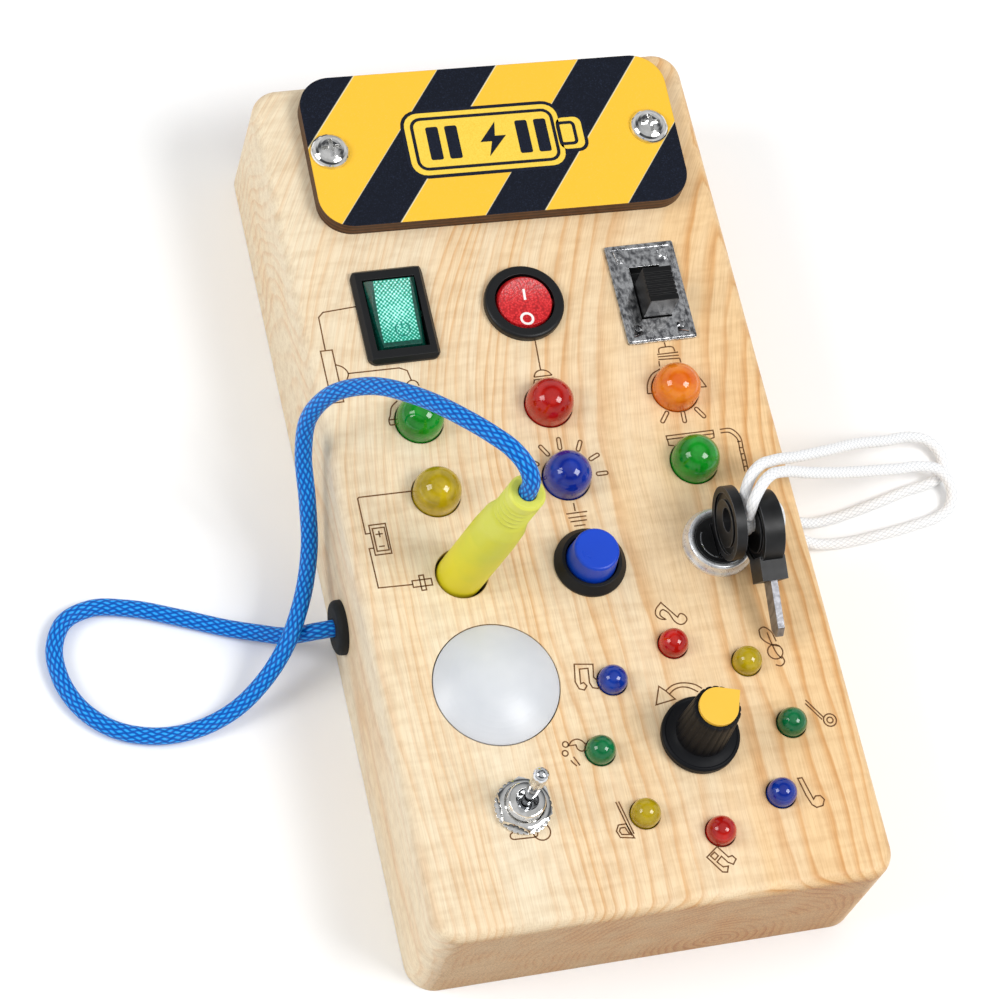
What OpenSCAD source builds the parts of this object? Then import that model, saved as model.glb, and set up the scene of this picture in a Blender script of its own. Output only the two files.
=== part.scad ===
// Wooden busy board: a pine block with switches, lamps, a lock with keys and a plug on a cord.
// It lies on its back. Z = 0 is the back, +Z points out of the play face and +Y towards the
// striped plate. All lengths are in millimetres.

/* [Block] */
// Width of the block
board_w = 120; // [116:1:150]
// Length of the block
board_l = 240; // [236:1:300]
// Thickness of the block
board_h = 40; // [39:1:50]
// Radius of the block's upright corners
corner_r = 7.5; // [6:0.5:12]
// Rounding of the play face's edge
edge_r = 3; // [1:0.5:4]
// Thickness of the wood behind the play face
face_t = 9; // [8:0.5:10]
// Width of the wall outside the back panel
rim_w = 5; // [4:0.5:6]
// Width of the ledge that the back panel lies on
ledge_w = 7; // [6:0.5:8]
// Thickness of the back panel
panel_t = 3; // [2.5:0.5:4]
// Gap round the back panel and its battery door
panel_gap = 0.3; // [0.1:0.1:0.5]

/* [Places on the face] */
// Width of the block that the ring of lamps is set out for
layout_w = 120; // [116:1:124]
// Length of the block that the rows are set out for
layout_l = 240; // [236:1:244]
// Distance of the outer columns from the block's sides
column_in = 25.2; // [24:0.2:27]
// Row of the three switches, from the middle of the block
switch_row = 48; // [47:0.1:50]
// How much lower the right switch sits than the middle one, and higher the left one
switch_lean = 0.85; // [0:0.05:1.2]
// Upper row of large lamps
lamp_high_row = 18.4; // [17:0.1:20]
// Lower row of large lamps
lamp_low_row = -2.5; // [-4:0.1:-1]
// Row of the jack, the push button and the lock
button_row = -25.4; // [-27:0.1:-24]
// How far the push button sits below its row
push_drop = 1.4; // [0:0.1:1.8]
// Distance of the push button from the block's middle line, to the right
push_x = 0.6; // [-1:0.1:1.5]
// How far the lock sits below its row
lock_drop = 0.5; // [0:0.1:1]
// Distance of the dome lamp from the left side
dome_in = 29.3; // [29.3:0.1:31]
// Row of the dome lamp
dome_row = -55.8; // [-58:0.1:-55]
// Distance of the toggle switch from the left side
toggle_in = 28.7; // [26:0.1:32]
// Row of the toggle switch
toggle_row = -88.6; // [-92:0.1:-86]
// Distance of the knob and the lamp ring from the lower end
ring_foot = 42.9; // [42.8:0.1:45]
// Radius of the ring of small lamps
ring_size = 25.4; // [24:0.1:26]
// Distance of the knob from the ring's centre, to the right
knob_aside = 0.7; // [0:0.1:1]
// Gap between the ring's outermost lamp and the wall
ring_wall_gap = 1.05; // [0.5:0.05:2]

/* [Striped plate] */
// Width of the plate
plate_w = 101.3; // [92:0.1:106]
// Distance of the plate from the block's middle line, to the right
plate_aside = 2; // [0:0.1:2.5]
// Turn of the plate, anticlockwise
plate_turn = -1.3; // [-2:0.1:0]
// Length of the plate along the block
plate_l = 45; // [40:0.5:48]
// Thickness of the plate
plate_t = 4.5; // [3:0.1:6]
// Corner radius of the plate
plate_r = 9; // [4:0.5:12]
// Distance from the block's end to the plate
plate_margin = 2; // [1:0.5:5]
// Distance of the plate's screws from its short sides
plate_screw_in = 6.6; // [6:0.1:10]
// Radius of a plate screw's head
plate_head_r = 5.3; // [4:0.1:5.5]
// Height of a plate screw's head
plate_head_h = 2.8; // [2:0.1:3.5]
// Radius of a plate screw's shank
plate_shank_r = 1.9; // [1.5:0.1:2.2]
// Length of a plate screw's shank
plate_shank_l = 11.5; // [9:0.5:12]

/* [Back screws and battery box] */
// Radius of a back screw's head
back_head_r = 2.8; // [2.4:0.1:3]
// Radius of a back screw's shank
back_shank_r = 1.4; // [1.2:0.1:1.6]
// Length of a back screw
back_screw_l = 11; // [8:0.5:12]
// Number of cells in the battery box
cell_count = 3; // [2:1:3]
// Diameter of a cell
cell_d = 10.5; // [9.5:0.1:10.8]
// Length of a cell with its button
cell_l = 44.5; // [40:0.5:46]
// Wall of the battery box
box_wall = 3; // [2.6:0.2:4]
// Room for a contact spring
contact_l = 4; // [3:0.5:5]

/* [Control board] */
// Width of the control board
board_pcb_w = 62; // [50:1:70]
// Length of the control board
board_pcb_l = 66; // [50:1:72]
// Thickness of the control board
board_pcb_t = 1.6; // [1:0.2:2]
// Height of the spacers under the control board
spacer_h = 5; // [4:0.5:6]
// Diameter of a wire with its cover
wire_d = 2; // [1.4:0.2:2.4]

/* [Green rocker] */
// Width of the green rocker's bezel
rect_bezel_w = 19.4; // [18.6:0.2:21]
// Length of the green rocker's bezel
rect_bezel_l = 27.2; // [26.2:0.2:29]
// Height of the rockers' bezels above the face
bezel_h = 2.2; // [1.6:0.1:3]
// Width of the green rocker's opening
rect_open_w = 14.2; // [13:0.2:15]
// Length of the green rocker's opening
rect_open_l = 20.6; // [19:0.2:21.4]
// Wall of the rocker housings
rocker_wall = 1.3; // [1:0.1:1.4]
// Depth of the rocker housings below the face
rocker_depth = 15; // [14:0.5:17]
// Tilt of a rocker each way
rocker_tilt = 9; // [5:0.5:10]
// Radius of a rocker's pivot pin
rocker_pin_r = 1.2; // [0.8:0.1:1.5]

/* [Red rocker] */
// Radius of the red rocker's bezel
round_bezel_r = 10.7; // [10:0.1:11.5]
// Radius of the red rocker's opening
round_open_r = 8; // [7:0.1:8.3]

/* [Slide switch] */
// Width of the slide switch's plate
slide_plate_w = 19; // [18:0.5:21]
// Length of the slide switch's plate
slide_plate_l = 29; // [28:0.5:31]
// Thickness of the slide switch's plate
slide_plate_t = 0.9; // [0.6:0.1:1.2]
// Width of the sliding knob
slide_knob_w = 7.8; // [6:0.2:8.4]
// Length of the sliding knob
slide_knob_l = 9.9; // [8:0.1:10.5]
// Height of the sliding knob above the plate
slide_knob_h = 9.6; // [6:0.2:12]
// Travel of the sliding knob
slide_travel = 5; // [3:0.5:5]
// Width of the slide switch's case
slide_case_w = 13.6; // [13:0.2:14.4]
// Length of the slide switch's case
slide_case_l = 24.4; // [23.4:0.2:25]
// Depth of the slide switch's case
slide_case_h = 9; // [8:0.5:10]

/* [Push button] */
// Radius of the push button's bezel
push_bezel_r = 9.4; // [9:0.1:10.5]
// Height of the push button's bezel
push_bezel_h = 3; // [2:0.1:3.5]
// Radius of the push button's cap at its foot
push_cap_r = 6.6; // [5.5:0.1:6.8]
// Radius of the push button's cap at its top
push_top_r = 5.9; // [5:0.1:6.2]
// Height of the push button's cap above its bezel when pressed
push_proud = 3; // [2:0.2:5]
// Travel of the push button
push_travel = 3.2; // [2:0.1:3.5]
// Depth of the push button's barrel below the face
push_depth = 16; // [15:0.5:18]

/* [Lock and keys] */
// Radius of the lock's chrome ring
lock_ring_r = 9.5; // [9:0.1:11]
// Height of the lock's chrome ring
lock_ring_h = 3.2; // [2.5:0.1:4]
// Radius of the lock's turning core
lock_core_r = 6.55; // [6:0.05:7]
// Depth of the lock below the face
lock_depth = 22; // [20:0.5:23]
// Radius of a key's head
key_head_r = 9.6; // [8:0.1:10.2]
// Thickness of the inserted key's head
key_head_t = 2.8; // [2.6:0.1:3.2]
// Thickness of the hanging key's head
spare_head_t = 5.4; // [4:0.1:5.6]
// Distance from a key's head centre to its tip
key_reach = 28; // [26:0.5:30]
// Width of a key's blade
key_blade_w = 5.4; // [5:0.1:7]
// Thickness of a key's blade
key_blade_t = 1.8; // [1.4:0.1:2]
// Height of the inserted key's head centre above the face
key_head_z = 12.6; // [12.4:0.1:15]
// Slope of the hanging key
hang_slope = 18; // [14:1:26]
// Distance from the lock's axis to the middle of the hanging key
hang_x = 7.9; // [7.8:0.1:10]
// Diameter of the key tether
tether_d = 3; // [2.4:0.2:3.2]

/* [Toggle switch] */
// Radius of the toggle's star washer
washer_r = 7.3; // [6.4:0.1:8]
// Thickness of the toggle's star washer
washer_t = 0.8; // [0.5:0.1:1.2]
// Width of the toggle's nut across its flats
toggle_nut_af = 12.6; // [11:0.2:12.6]
// Height of the toggle's nut
toggle_nut_h = 2.6; // [2:0.1:3]
// Radius of the toggle's threaded bushing
bushing_r = 4.9; // [4.3:0.1:5]
// Height of the toggle's bushing above the face
bushing_h = 6; // [4.5:0.5:6.5]
// Height of the toggle's lever above the face
lever_h = 24.6; // [18:0.2:28]
// Radius of the toggle lever's tip
lever_tip_r = 2.1; // [1.8:0.1:2.4]
// Swing of the toggle's lever each way
lever_swing = 12; // [8:1:12]

/* [Knob] */
// Radius of the knob's skirt
skirt_r = 10.1; // [9.8:0.1:12]
// Radius of the knob's barrel at its foot
barrel_foot_r = 6.8; // [6.4:0.1:7.6]
// Radius of the knob's barrel at its top
barrel_top_r = 6; // [5.6:0.1:6.8]
// Height of the knob above the face
knob_h = 20; // [16:0.2:24]
// Direction of the knob's pointer, anticlockwise from +X
pointer_angle = 28; // [0:1:60]
// Reach of the pointer from the knob's axis
pointer_reach = 7.2; // [6:0.1:9]
// Radius of the rotary control's shaft
shaft_r = 2.9; // [2.4:0.1:3]

/* [Lamps] */
// Radius of a large lamp's lens
big_lens_r = 6.2; // [5:0.1:6.4]
// Height of a large lamp's straight side above the face
big_side_h = 2.5; // [0.5:0.1:4]
// Radius of a small lamp's lens
small_lens_r = 3.75; // [3:0.05:4]
// Height of a small lamp's straight side above the face
small_side_h = 1.2; // [0.5:0.1:2]
// Gap round a lamp in its hole
lamp_gap = 0.25; // [0.1:0.05:0.4]
// Thickness of a lamp's flange
lamp_flange_t = 1.5; // [1:0.1:2]
// Radius of the dome lamp
dome_r = 16.1; // [14:0.1:16.4]
// Height of the dome lamp above the face
dome_h = 5; // [3:0.2:8]
// Wall of the dome lamp
dome_wall = 1.6; // [1.2:0.1:2.4]

/* [Jack and plug] */
// Radius of the plug's hole in the face
jack_hole_r = 6.9; // [6.6:0.1:8]
// Lean of the plug from upright
plug_lean = 7.5; // [0:0.5:8]
// Direction of the plug's lean, anticlockwise from +X
plug_lean_dir = -17; // [-40:1:40]
// Radius of the plug's grip
grip_r = 6.1; // [5:0.1:6.1]
// Radius of the grip's ribbed neck
neck_r = 4.8; // [4:0.1:5.2]
// Height of the grip's top above the face
grip_h = 52; // [46:1:56]
// Radius of the plug's pin
pin_r = 3.15; // [2.5:0.05:3.3]
// Length of the plug's pin
pin_l = 20; // [16:0.5:21]
// Diameter of the blue cord
cord_d = 4.5; // [3.5:0.1:4.6]
// Place of the cord's grommet along the block
grommet_y = -25; // [-30:0.5:-20]
// Height of the grommet above the back
grommet_z = 14; // [13:0.5:18]
// Radius of the grommet's flange
grommet_r = 7.2; // [6:0.1:8]

/* [Hidden] */
$fn = 64;

// Clearances
run_gap = 0.3;      // between moving neighbours
shaft_gap = 0.06;   // radial, round a turning shaft or pin
fit_gap = 0.15;     // round a fixed body in its hole
thread_gap = 0.05;  // round a screw or thread

// Block and back panel
recess_r = 3;
cavity_r = 4;
wall_w = rim_w + ledge_w;
recess_w = board_w - 2 * rim_w;
recess_l = board_l - 2 * rim_w;
cavity_w = board_w - 2 * wall_w;
cavity_l = board_l - 2 * wall_w;
screw_x = board_w / 2 - rim_w - ledge_w / 2;
screw_y = board_l / 2 - wall_w - cavity_r;

// Places on the face, from its middle
across = board_w / layout_w;
along = board_l / layout_l;
column_x = board_w / 2 - column_in;
switch_y = switch_row * along;
green_y = switch_y + switch_lean;
slide_y = switch_y - switch_lean;
lamp_high_y = lamp_high_row * along;
lamp_low_y = lamp_low_row * along;
button_y = button_row * along;
push_y = button_y - push_drop;
lock_y = button_y - lock_drop;
dome_x = board_w / 2 - dome_in;
dome_y = dome_row * along;
toggle_x = board_w / 2 - toggle_in;
toggle_y = toggle_row * along;
lamp_flange_w = 1;
ring_r = ring_size * across;
ring_x = cavity_w / 2 - ring_r - small_lens_r - lamp_flange_w - ring_wall_gap;
knob_x = ring_x + knob_aside;
knob_y = ring_foot - board_l / 2;

// Battery box, under the striped plate
plate_y = board_l / 2 - plate_margin - plate_l / 2;
plate_screw_x = plate_w / 2 - plate_screw_in;
plate_screw_aside = 1;
plate_wood_gap = 0.05;
contact_t = 0.5;
cell_pitch = cell_d + 0.8;
cell_rest = 1.2;
pocket_w = cell_l + contact_l + 2 * contact_t;
pocket_l = cell_count * cell_pitch + 0.4;
door_boss_l = 8;
box_w = pocket_w + 2 * box_wall;
box_l = pocket_l + 2 * box_wall + door_boss_l;
box_h = cell_d + cell_rest + box_wall;
window_w = box_w - box_wall;
window_l = box_l - box_wall;
box_y = board_l / 2 - wall_w - 2 - box_l / 2;
door_screw_y = box_y + box_l / 2 - box_wall / 2 - door_boss_l / 2;
pocket_y = box_y - door_boss_l / 2;

// Control board, above the middle of the back panel
pcb_y = -11;
pcb_z = panel_t + spacer_h;
pcb_top = pcb_z + board_pcb_t;
spacer_r = 2.5;
spacer_in = 5;
header_w = 3;
header_h = 2;
wire_z = pcb_top + header_h + 1.4;
led_lead_l = 6;
lamp_board_w = 2 * (column_x + 3.6);
lamp_board_l = lamp_high_y - lamp_low_y + 8;
lamp_board_z = board_h - face_t - lamp_flange_t - led_lead_l;
lamp_board_t = 1.6;
lug_t = 0.8;
lug_w = 4.6;
lug_l = 6.5;

// Rockers
rect_body_w = rect_open_w + 2 * rocker_wall;
rect_body_l = rect_open_l + 2 * rocker_wall;
cap_pivot_z = -0.5;
cap_r = rect_open_l / 2 - run_gap;
cap_top_a = 25;
cap_bevel_w = 1.7;
cap_bevel_h = 2.8;
cap_low_a = 38;
cap_dip = 1.2;
rocker_floor_z = -9;
pin_reach = 0.8;
round_body_r = round_open_r + rocker_wall;
round_cap_r = round_open_r - run_gap;
round_pivot_z = -0.7;
round_cap_top = 4.2;
round_cap_low = 6.5;
hollow_r = 20;

// Slide switch
slide_slot_w = slide_knob_w + 2 * run_gap;
slide_slot_l = slide_knob_l + slide_travel + 2 * run_gap;
slide_knob_y = -slide_travel / 2;
slide_foot_w = slide_knob_w + 2.4;
slide_foot_l = slide_knob_l + 1.6;
slide_foot_h = slide_case_h - 5;
slide_rib_pitch = 1.25;

// Push button
push_cap_h = push_bezel_h + push_travel + push_proud;
push_bore_r = push_cap_r + run_gap;
push_barrel_r = push_bore_r + 1.3;
push_hole_r = push_barrel_r + fit_gap;
push_lip_z = -1.5;
push_flange_r = push_bore_r + 0.25;
push_flange_t = 1.8;
push_floor_t = 1.5;
push_spring_r = push_bore_r - 2;
push_spring_wire = 0.9;
push_nut_af = 20;

// Lock and keys
lock_x = column_x + 0.7;
lock_barrel_r = lock_core_r + 1.4;
lock_hole_r = lock_barrel_r + fit_gap;
lock_rim_r = lock_core_r + 1.1;
lock_core_top = 2.4;
lock_floor_t = 2;
lock_nut_af = 19.5;
ring_nut_t = 3;
keyway_gap = 0.3;
key_neck_w = 8.4;
key_neck_l = 4.2;
key_tang_w = 5;
key_tang_l = 5;
key_hole_r = 3.2;
mouth_l = key_neck_w + 2 * run_gap;
mouth_w = key_head_t + 2 * run_gap;
mouth_z = key_head_z - key_head_r - key_neck_l - run_gap;
key_hole_up = 2.2;
spare_collar_t = spare_head_t + 1.4;
spare_collar_l = key_neck_l + 2;
hang_y = lock_y - 2.8;
hang_z = 13.4;
hang_hole_y = hang_y + key_hole_up * cos(hang_slope);
hang_hole_z = hang_z + key_hole_up * sin(hang_slope);
knot_neck_r = key_hole_r - 0.3;
knot_r = 3.6;

// Toggle switch
washer_teeth = 24;
toggle_hole_r = bushing_r + 0.4;
toggle_nut_z = washer_t;
lever_pivot_z = 1;
lever_ball_r = 2.6;
lever_foot_r = 1.4;
toggle_bore_r = (bushing_h - lever_pivot_z) * tan(lever_swing)
    + lever_foot_r / cos(lever_swing) + 2 * run_gap;
toggle_case_w = 13;
toggle_case_l = 15;
toggle_case_h = 10;

// Knob and rotary control
skirt_gap = 0.5;
skirt_h = 2.6;
skirt_slope_h = 1;
skirt_hollow_r = skirt_r - 2;
skirt_hollow_h = 3;
pointer_r = 5;
pointer_t = 1.2;
knob_bore_l = 13;
rotary_bushing_r = shaft_r + 1.1;
rotary_bushing_h = 2.6;
rotary_nut_af = 11;
rotary_nut_h = 2;
rotary_case_r = 8.2;
rotary_case_h = 9;

// Lamps
ring_count = 8;
dome_hole_r = dome_r + run_gap;
dome_flange_r = dome_hole_r + 0.9;
dome_flange_t = 1.5;

// Jack, plug and cord
plug_x = -column_x + 1.9;
plug_y = button_y + 0.5;
grip_foot_z = -3;
shoulder_z = 34;
neck_z = 38;
rib_count = 5;
cord_bore_l = 6;
socket_top_z = -3.7;
socket_r = 5.2;
socket_flange_r = 9;
socket_flange_t = 2;
socket_floor_t = 1;
grommet_t = 2.5;
grommet_neck_r = 4.6;
tether_exit_y = button_y + 12.4;
tether_exit_z = 14;
tether_pitch = 2.1;
tether_stop_x = board_w / 2 - wall_w - 1;
cord_end_x = 15 - board_w / 2;

// A route's ground part is given from the hole in the block's side, its upper part from the
// top of the plug or from the hole of the hanging key.
// Blue cord: out of the grommet, a loop on the ground, up the block's left side, over its edge
// and down into the plug
blue_ground = [
    [15, 0, grommet_z], [-2.5, 0, grommet_z], [-6.4, 0.1, 13.4], [-10.4, 0.8, 11],
    [-14.6, 2.5, 7.2], [-19.4, 5.3, 4], [-26.4, 8.2, 2.4], [-39, 13.2, 2.3], [-52, 17.7, 2.3],
    [-61.4, 18.9, 2.3], [-68.6, 16.2, 2.3], [-72.2, 9.8, 2.3], [-72.2, 1.2, 2.3],
    [-68.6, -7.6, 2.3], [-61.6, -14.4, 2.3], [-51.8, -18, 2.3], [-40.4, -17.9, 2.3],
    [-29.8, -14.6, 4.1], [-21.2, -9, 8.8], [-14.6, -1.7, 14.2], [-10.8, 5.2, 15.8],
    [-7.6, 12.6, 16.4], [-5.4, 20.5, 19], [-5.4, 29.6, 28.6]
];
blue_over = [
    [-40, 40.1, -51.3], [-39.4, 44.5, -40.5], [-35.6, 45, -29.1], [-28.5, 40.8, -17.1],
    [-20.4, 30.7, -4.3], [-12.6, 18.4, 6.2], [-8.2, 11.9, 9.9], [-4.6, 7.2, 11], [-1.8, 3.5, 9.5],
    [-0.1, 0.9, 5.9]
];
// The tether's two strands: out of the right side, a loop on the ground, over the block's edge
// and down between the keys' heads
upper_ground = [
    [-wall_w - 0.4, tether_pitch, tether_exit_z], [0, tether_pitch, tether_exit_z],
    [5, 2.1, 12.7], [10.2, 2.8, 8.2], [15.6, 3.7, 3.8], [22.6, 4.9, 1.8], [35, 7.5, 1.6],
    [46, 10.3, 1.6], [53.4, 11.8, 1.6], [56.8, 13.5, 1.6], [58.6, 17.2, 1.8], [57.7, 21.1, 2.7],
    [54.7, 23.5, 4.2], [49.8, 23.7, 7], [38.6, 20.4, 14.7], [26.4, 16.4, 24.6], [12.6, 10.2, 37.1]
];
upper_over = [
    [16.3, 18.6, -6.4], [5.9, 14.4, 3], [0.7, 11.8, 6.8], [-2.6, 8.8, 7.7], [-4.4, 5.6, 6.2],
    [-4.6, 2.6, 3.1]
];
lower_ground = [
    [-wall_w - 0.4, -tether_pitch, tether_exit_z], [0, -tether_pitch, tether_exit_z],
    [5, -2.2, 12.7], [10.2, -2.4, 8.2], [15.6, -2.5, 3.8], [22.6, -2.4, 1.8], [35, -1.5, 1.6],
    [46, 0.1, 1.6], [53.2, 1.7, 1.6], [56.6, 3.7, 1.8], [58.2, 7.2, 2.7], [57.4, 10.9, 4.4],
    [54.5, 13.4, 6.6], [50, 13.6, 9.3], [39, 11.2, 16], [26, 7.8, 25.4], [13.2, 3.6, 37]
];
lower_over = [
    [17.5, 13.6, -5.8], [7.3, 10.5, 4.2], [2.5, 8.2, 8.6], [-1.1, 5.2, 10.6], [-3.9, 1.8, 9.8],
    [-4.6, -0.6, 4.3]
];

// Point of the plug's leaning axis at a height above the face
function plug_point(h) = [plug_x, plug_y, board_h] + h * [sin(plug_lean) * cos(plug_lean_dir),
    sin(plug_lean) * sin(plug_lean_dir), cos(plug_lean)];

function moved(points, by) = [for (p = points) p + by];

blue_route = concat(moved(blue_ground, [-board_w / 2, grommet_y, 0]),
    moved(blue_over, plug_point(grip_h)), [plug_point(grip_h), plug_point(grip_h - 5)]);
tether_exit = [board_w / 2, tether_exit_y, 0];
hang_hole = [lock_x + hang_x, hang_hole_y, board_h + hang_hole_z];
upper_route = concat(moved(upper_ground, tether_exit), moved(upper_over, hang_hole));
lower_route = concat(moved(lower_ground, tether_exit), moved(lower_over, hang_hole));

// ---- Helpers ----

// Points of an arc about [x, y] from angle a to angle b
function arc(x, y, r, a, b, n = 8) =
    [for (i = [0:n]) let (t = a + (b - a) * i / n) [x + r * cos(t), y + r * sin(t)]];

function unit(v) = v / norm(v);

// Direction of a route at its point i
function heading(p, i) = let (
    before = i > 0 ? unit(p[i] - p[i - 1]) : [0, 0, 0],
    after = i < len(p) - 1 ? unit(p[i + 1] - p[i]) : [0, 0, 0]
) unit(before + after);

// The side vector v turned square to the heading t
function squared(v, t) = unit(v - t * (v * t));

// Closed tube of radius r along the route p
module tube(p, r, sides = 8) {
    n = len(p);
    seed = abs(heading(p, 0)[2]) > 0.9 ? [1, 0, 0] : [0, 0, 1];
    side = [for (i = 0, s = squared(seed, heading(p, 0)); i < n; i = i + 1,
        s = squared(s, heading(p, min(i, n - 1)))) s];
    points = [for (i = [0:n - 1], k = [0:sides - 1])
        p[i] + r * (cos(360 * k / sides) * side[i]
        + sin(360 * k / sides) * cross(heading(p, i), side[i]))];
    walls = [for (i = [0:n - 2], k = [0:sides - 1])
        let (a = i * sides + k, b = i * sides + (k + 1) % sides) [a, a + sides, b + sides, b]];
    start_cap = [for (k = [0:sides - 1]) k];
    end_cap = [for (k = [sides - 1:-1:0]) (n - 1) * sides + k];
    polyhedron(points, concat(walls, [start_cap, end_cap]));
}

// Coil spring wound round Z from z = 0 to z = length
module coil(radius, wire, length, turns) {
    steps = turns * 10;
    rise = length - wire;
    tube([for (i = [0:steps]) [radius * cos(36 * i), radius * sin(36 * i),
        wire / 2 + rise * i / steps]], wire / 2 * 0.98, 6);
}

module rounded_rect(w, l, r) {
    square([w - 2 * r, l], center = true);
    square([w, l - 2 * r], center = true);
    for (x = [-1, 1], y = [-1, 1])
        translate([x * (w / 2 - r), y * (l / 2 - r)])
            circle(r);
}

module hexagon(across_flats, h) {
    cylinder(r = across_flats / sqrt(3), h = h, $fn = 6);
}

// Ring with an outer and an inner radius
module ring(outer, inner, h) {
    difference() {
        cylinder(r = outer, h = h);
        translate([0, 0, -1])
            cylinder(r = inner, h = h + 2);
    }
}

// Puts its children on the play face at x, y
module on_face(x, y) {
    translate([x, y, board_h])
        children();
}

// Puts its children at the six screws of the back panel
module at_back_screws() {
    for (x = [-1, 1], y = [-1, 0, 1])
        translate([x * screw_x, y * screw_y, 0])
            children();
}

// ---- Block, back panel and plate ----

module block_outside() {
    linear_extrude(board_h - edge_r)
        rounded_rect(board_w, board_l, corner_r);
    hull()
        for (x = [-1, 1], y = [-1, 1])
            translate([x * (board_w / 2 - corner_r), y * (board_l / 2 - corner_r),
                board_h - edge_r])
                rotate_extrude()
                    polygon(concat([[0, 0]],
                        arc(corner_r - edge_r, 0, edge_r, 0, 90), [[0, edge_r]]));
}

// Cuts a round hole through the wood of the play face
module face_hole(x, y, r) {
    translate([x, y, board_h - face_t - 1])
        cylinder(r = r, h = face_t + 2);
}

// Cuts a square hole through the wood of the play face
module face_slot(x, y, w, l) {
    translate([x - w / 2, y - l / 2, board_h - face_t - 1])
        cube([w, l, face_t + 2]);
}

module face_holes() {
    face_slot(-column_x, green_y, rect_body_w + 2 * fit_gap, rect_body_l + 2 * fit_gap);
    face_hole(0, switch_y, round_body_r + fit_gap);
    face_slot(column_x, slide_y, slide_case_w + 2 * fit_gap, slide_case_l + 2 * fit_gap);
    for (x = [-1, 0, 1], y = [lamp_high_y, lamp_low_y])
        face_hole(x * column_x, y, big_lens_r + lamp_gap);
    for (i = [0:ring_count - 1])
        face_hole(ring_lamp_x(i), ring_lamp_y(i), small_lens_r + lamp_gap);
    face_hole(plug_x, plug_y, jack_hole_r);
    face_hole(push_x, push_y, push_hole_r);
    face_hole(lock_x, lock_y, lock_hole_r);
    face_hole(-dome_x, dome_y, dome_hole_r);
    face_hole(-toggle_x, toggle_y, toggle_hole_r);
    face_hole(knob_x, knob_y, rotary_bushing_r + fit_gap);
}

module pine_block() {
    color("burlywood")
        difference() {
            block_outside();
            translate([0, 0, -1])
                linear_extrude(panel_t + 1)
                    rounded_rect(recess_w, recess_l, recess_r);
            translate([0, 0, -1])
                linear_extrude(board_h - face_t + 1)
                    rounded_rect(cavity_w, cavity_l, cavity_r);
            face_holes();
            at_back_screws()
                cylinder(r = back_shank_r + thread_gap, h = back_screw_l + 1);
            for (x = [-1, 1])
                on_plate(x)
                    translate([0, 0, plate_t - plate_shank_l - 0.5])
                        cylinder(r = plate_shank_r + plate_wood_gap, h = plate_shank_l);
            translate([-board_w / 2 - 1, grommet_y, grommet_z])
                rotate([0, 90, 0])
                    cylinder(r = grommet_neck_r + fit_gap, h = wall_w + 2);
            for (s = [-1, 1])
                translate([board_w / 2 + 1, tether_exit_y + s * tether_pitch, tether_exit_z])
                    rotate([0, -90, 0])
                        cylinder(r = tether_d / 2 + 0.25, h = wall_w + 2);
        }
}

module back_panel() {
    color("tan")
        difference() {
            linear_extrude(panel_t)
                rounded_rect(recess_w - 2 * panel_gap, recess_l - 2 * panel_gap,
                    recess_r - panel_gap);
            translate([-window_w / 2, box_y - window_l / 2, -1])
                cube([window_w, window_l, panel_t + 2]);
            at_back_screws()
                screw_seat();
        }
}

// Countersunk hole for a back screw, open at z = 0
module screw_seat() {
    translate([0, 0, -1])
        cylinder(r = back_shank_r + fit_gap, h = panel_t + 2);
    translate([0, 0, -0.1])
        cylinder(r1 = back_head_r + fit_gap + 0.1, r2 = back_shank_r + fit_gap, h = 1.6);
}

module back_screw() {
    difference() {
        union() {
            translate([0, 0, 0.1])
                cylinder(r1 = back_head_r, r2 = back_shank_r, h = 1.4);
            translate([0, 0, 1])
                cylinder(r = back_shank_r, h = back_screw_l - 1);
        }
        cross_recess(back_head_r * 1.1, 0.9);
    }
}

// Cross-shaped recess cut into a screw head from z = 0 to z = depth
module cross_recess(span, depth) {
    for (a = [0, 90])
        rotate([0, 0, a])
            translate([-span / 2, -span / 10, -1])
                cube([span, span / 5, depth + 1]);
}

module back_screws() {
    color("silver") {
        at_back_screws()
            back_screw();
        translate([0, door_screw_y, 0])
            back_screw();
    }
}

// Place on the face of the plate's middle (x = 0) or of its left or right screw (-1 or 1)
module on_plate(x) {
    translate([plate_aside, plate_y, board_h])
        rotate(plate_turn)
            translate([x * plate_screw_x - abs(x) * plate_screw_aside, 0, 0])
                children();
}

module striped_plate() {
    color("gold")
        difference() {
            on_plate(0)
                linear_extrude(plate_t)
                    rounded_rect(plate_w, plate_l, plate_r);
            for (x = [-1, 1])
                on_plate(x)
                    translate([0, 0, -1])
                        cylinder(r = plate_shank_r + fit_gap, h = plate_t + 2);
        }
}

module plate_screws() {
    color("silver")
        for (x = [-1, 1])
            on_plate(x)
                translate([0, 0, plate_t])
                    difference() {
                        union() {
                            rotate_extrude()
                                polygon(concat([[0, 0], [plate_head_r, 0]],
                                    [for (a = [10:10:80]) [plate_head_r * cos(a) + 0.1 * sin(a),
                                        plate_head_h * sin(a)]], [[0, plate_head_h]]));
                            translate([0, 0, -plate_shank_l])
                                cylinder(r = plate_shank_r, h = plate_shank_l);
                        }
                        translate([0, 0, plate_head_h])
                            mirror([0, 0, 1])
                                cross_recess(plate_head_r, 1.6);
                    }
}

// ---- Battery box ----

module battery_box() {
    color("dimgray")
        difference() {
            translate([-box_w / 2, box_y - box_l / 2, panel_t])
                cube([box_w, box_l, box_h]);
            translate([-pocket_w / 2, pocket_y - pocket_l / 2, panel_t - 1])
                cube([pocket_w, pocket_l, cell_d + cell_rest + 1]);
            translate([0, door_screw_y, panel_t - 1])
                cylinder(r = back_shank_r + thread_gap, h = back_screw_l);
        }
}

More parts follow.
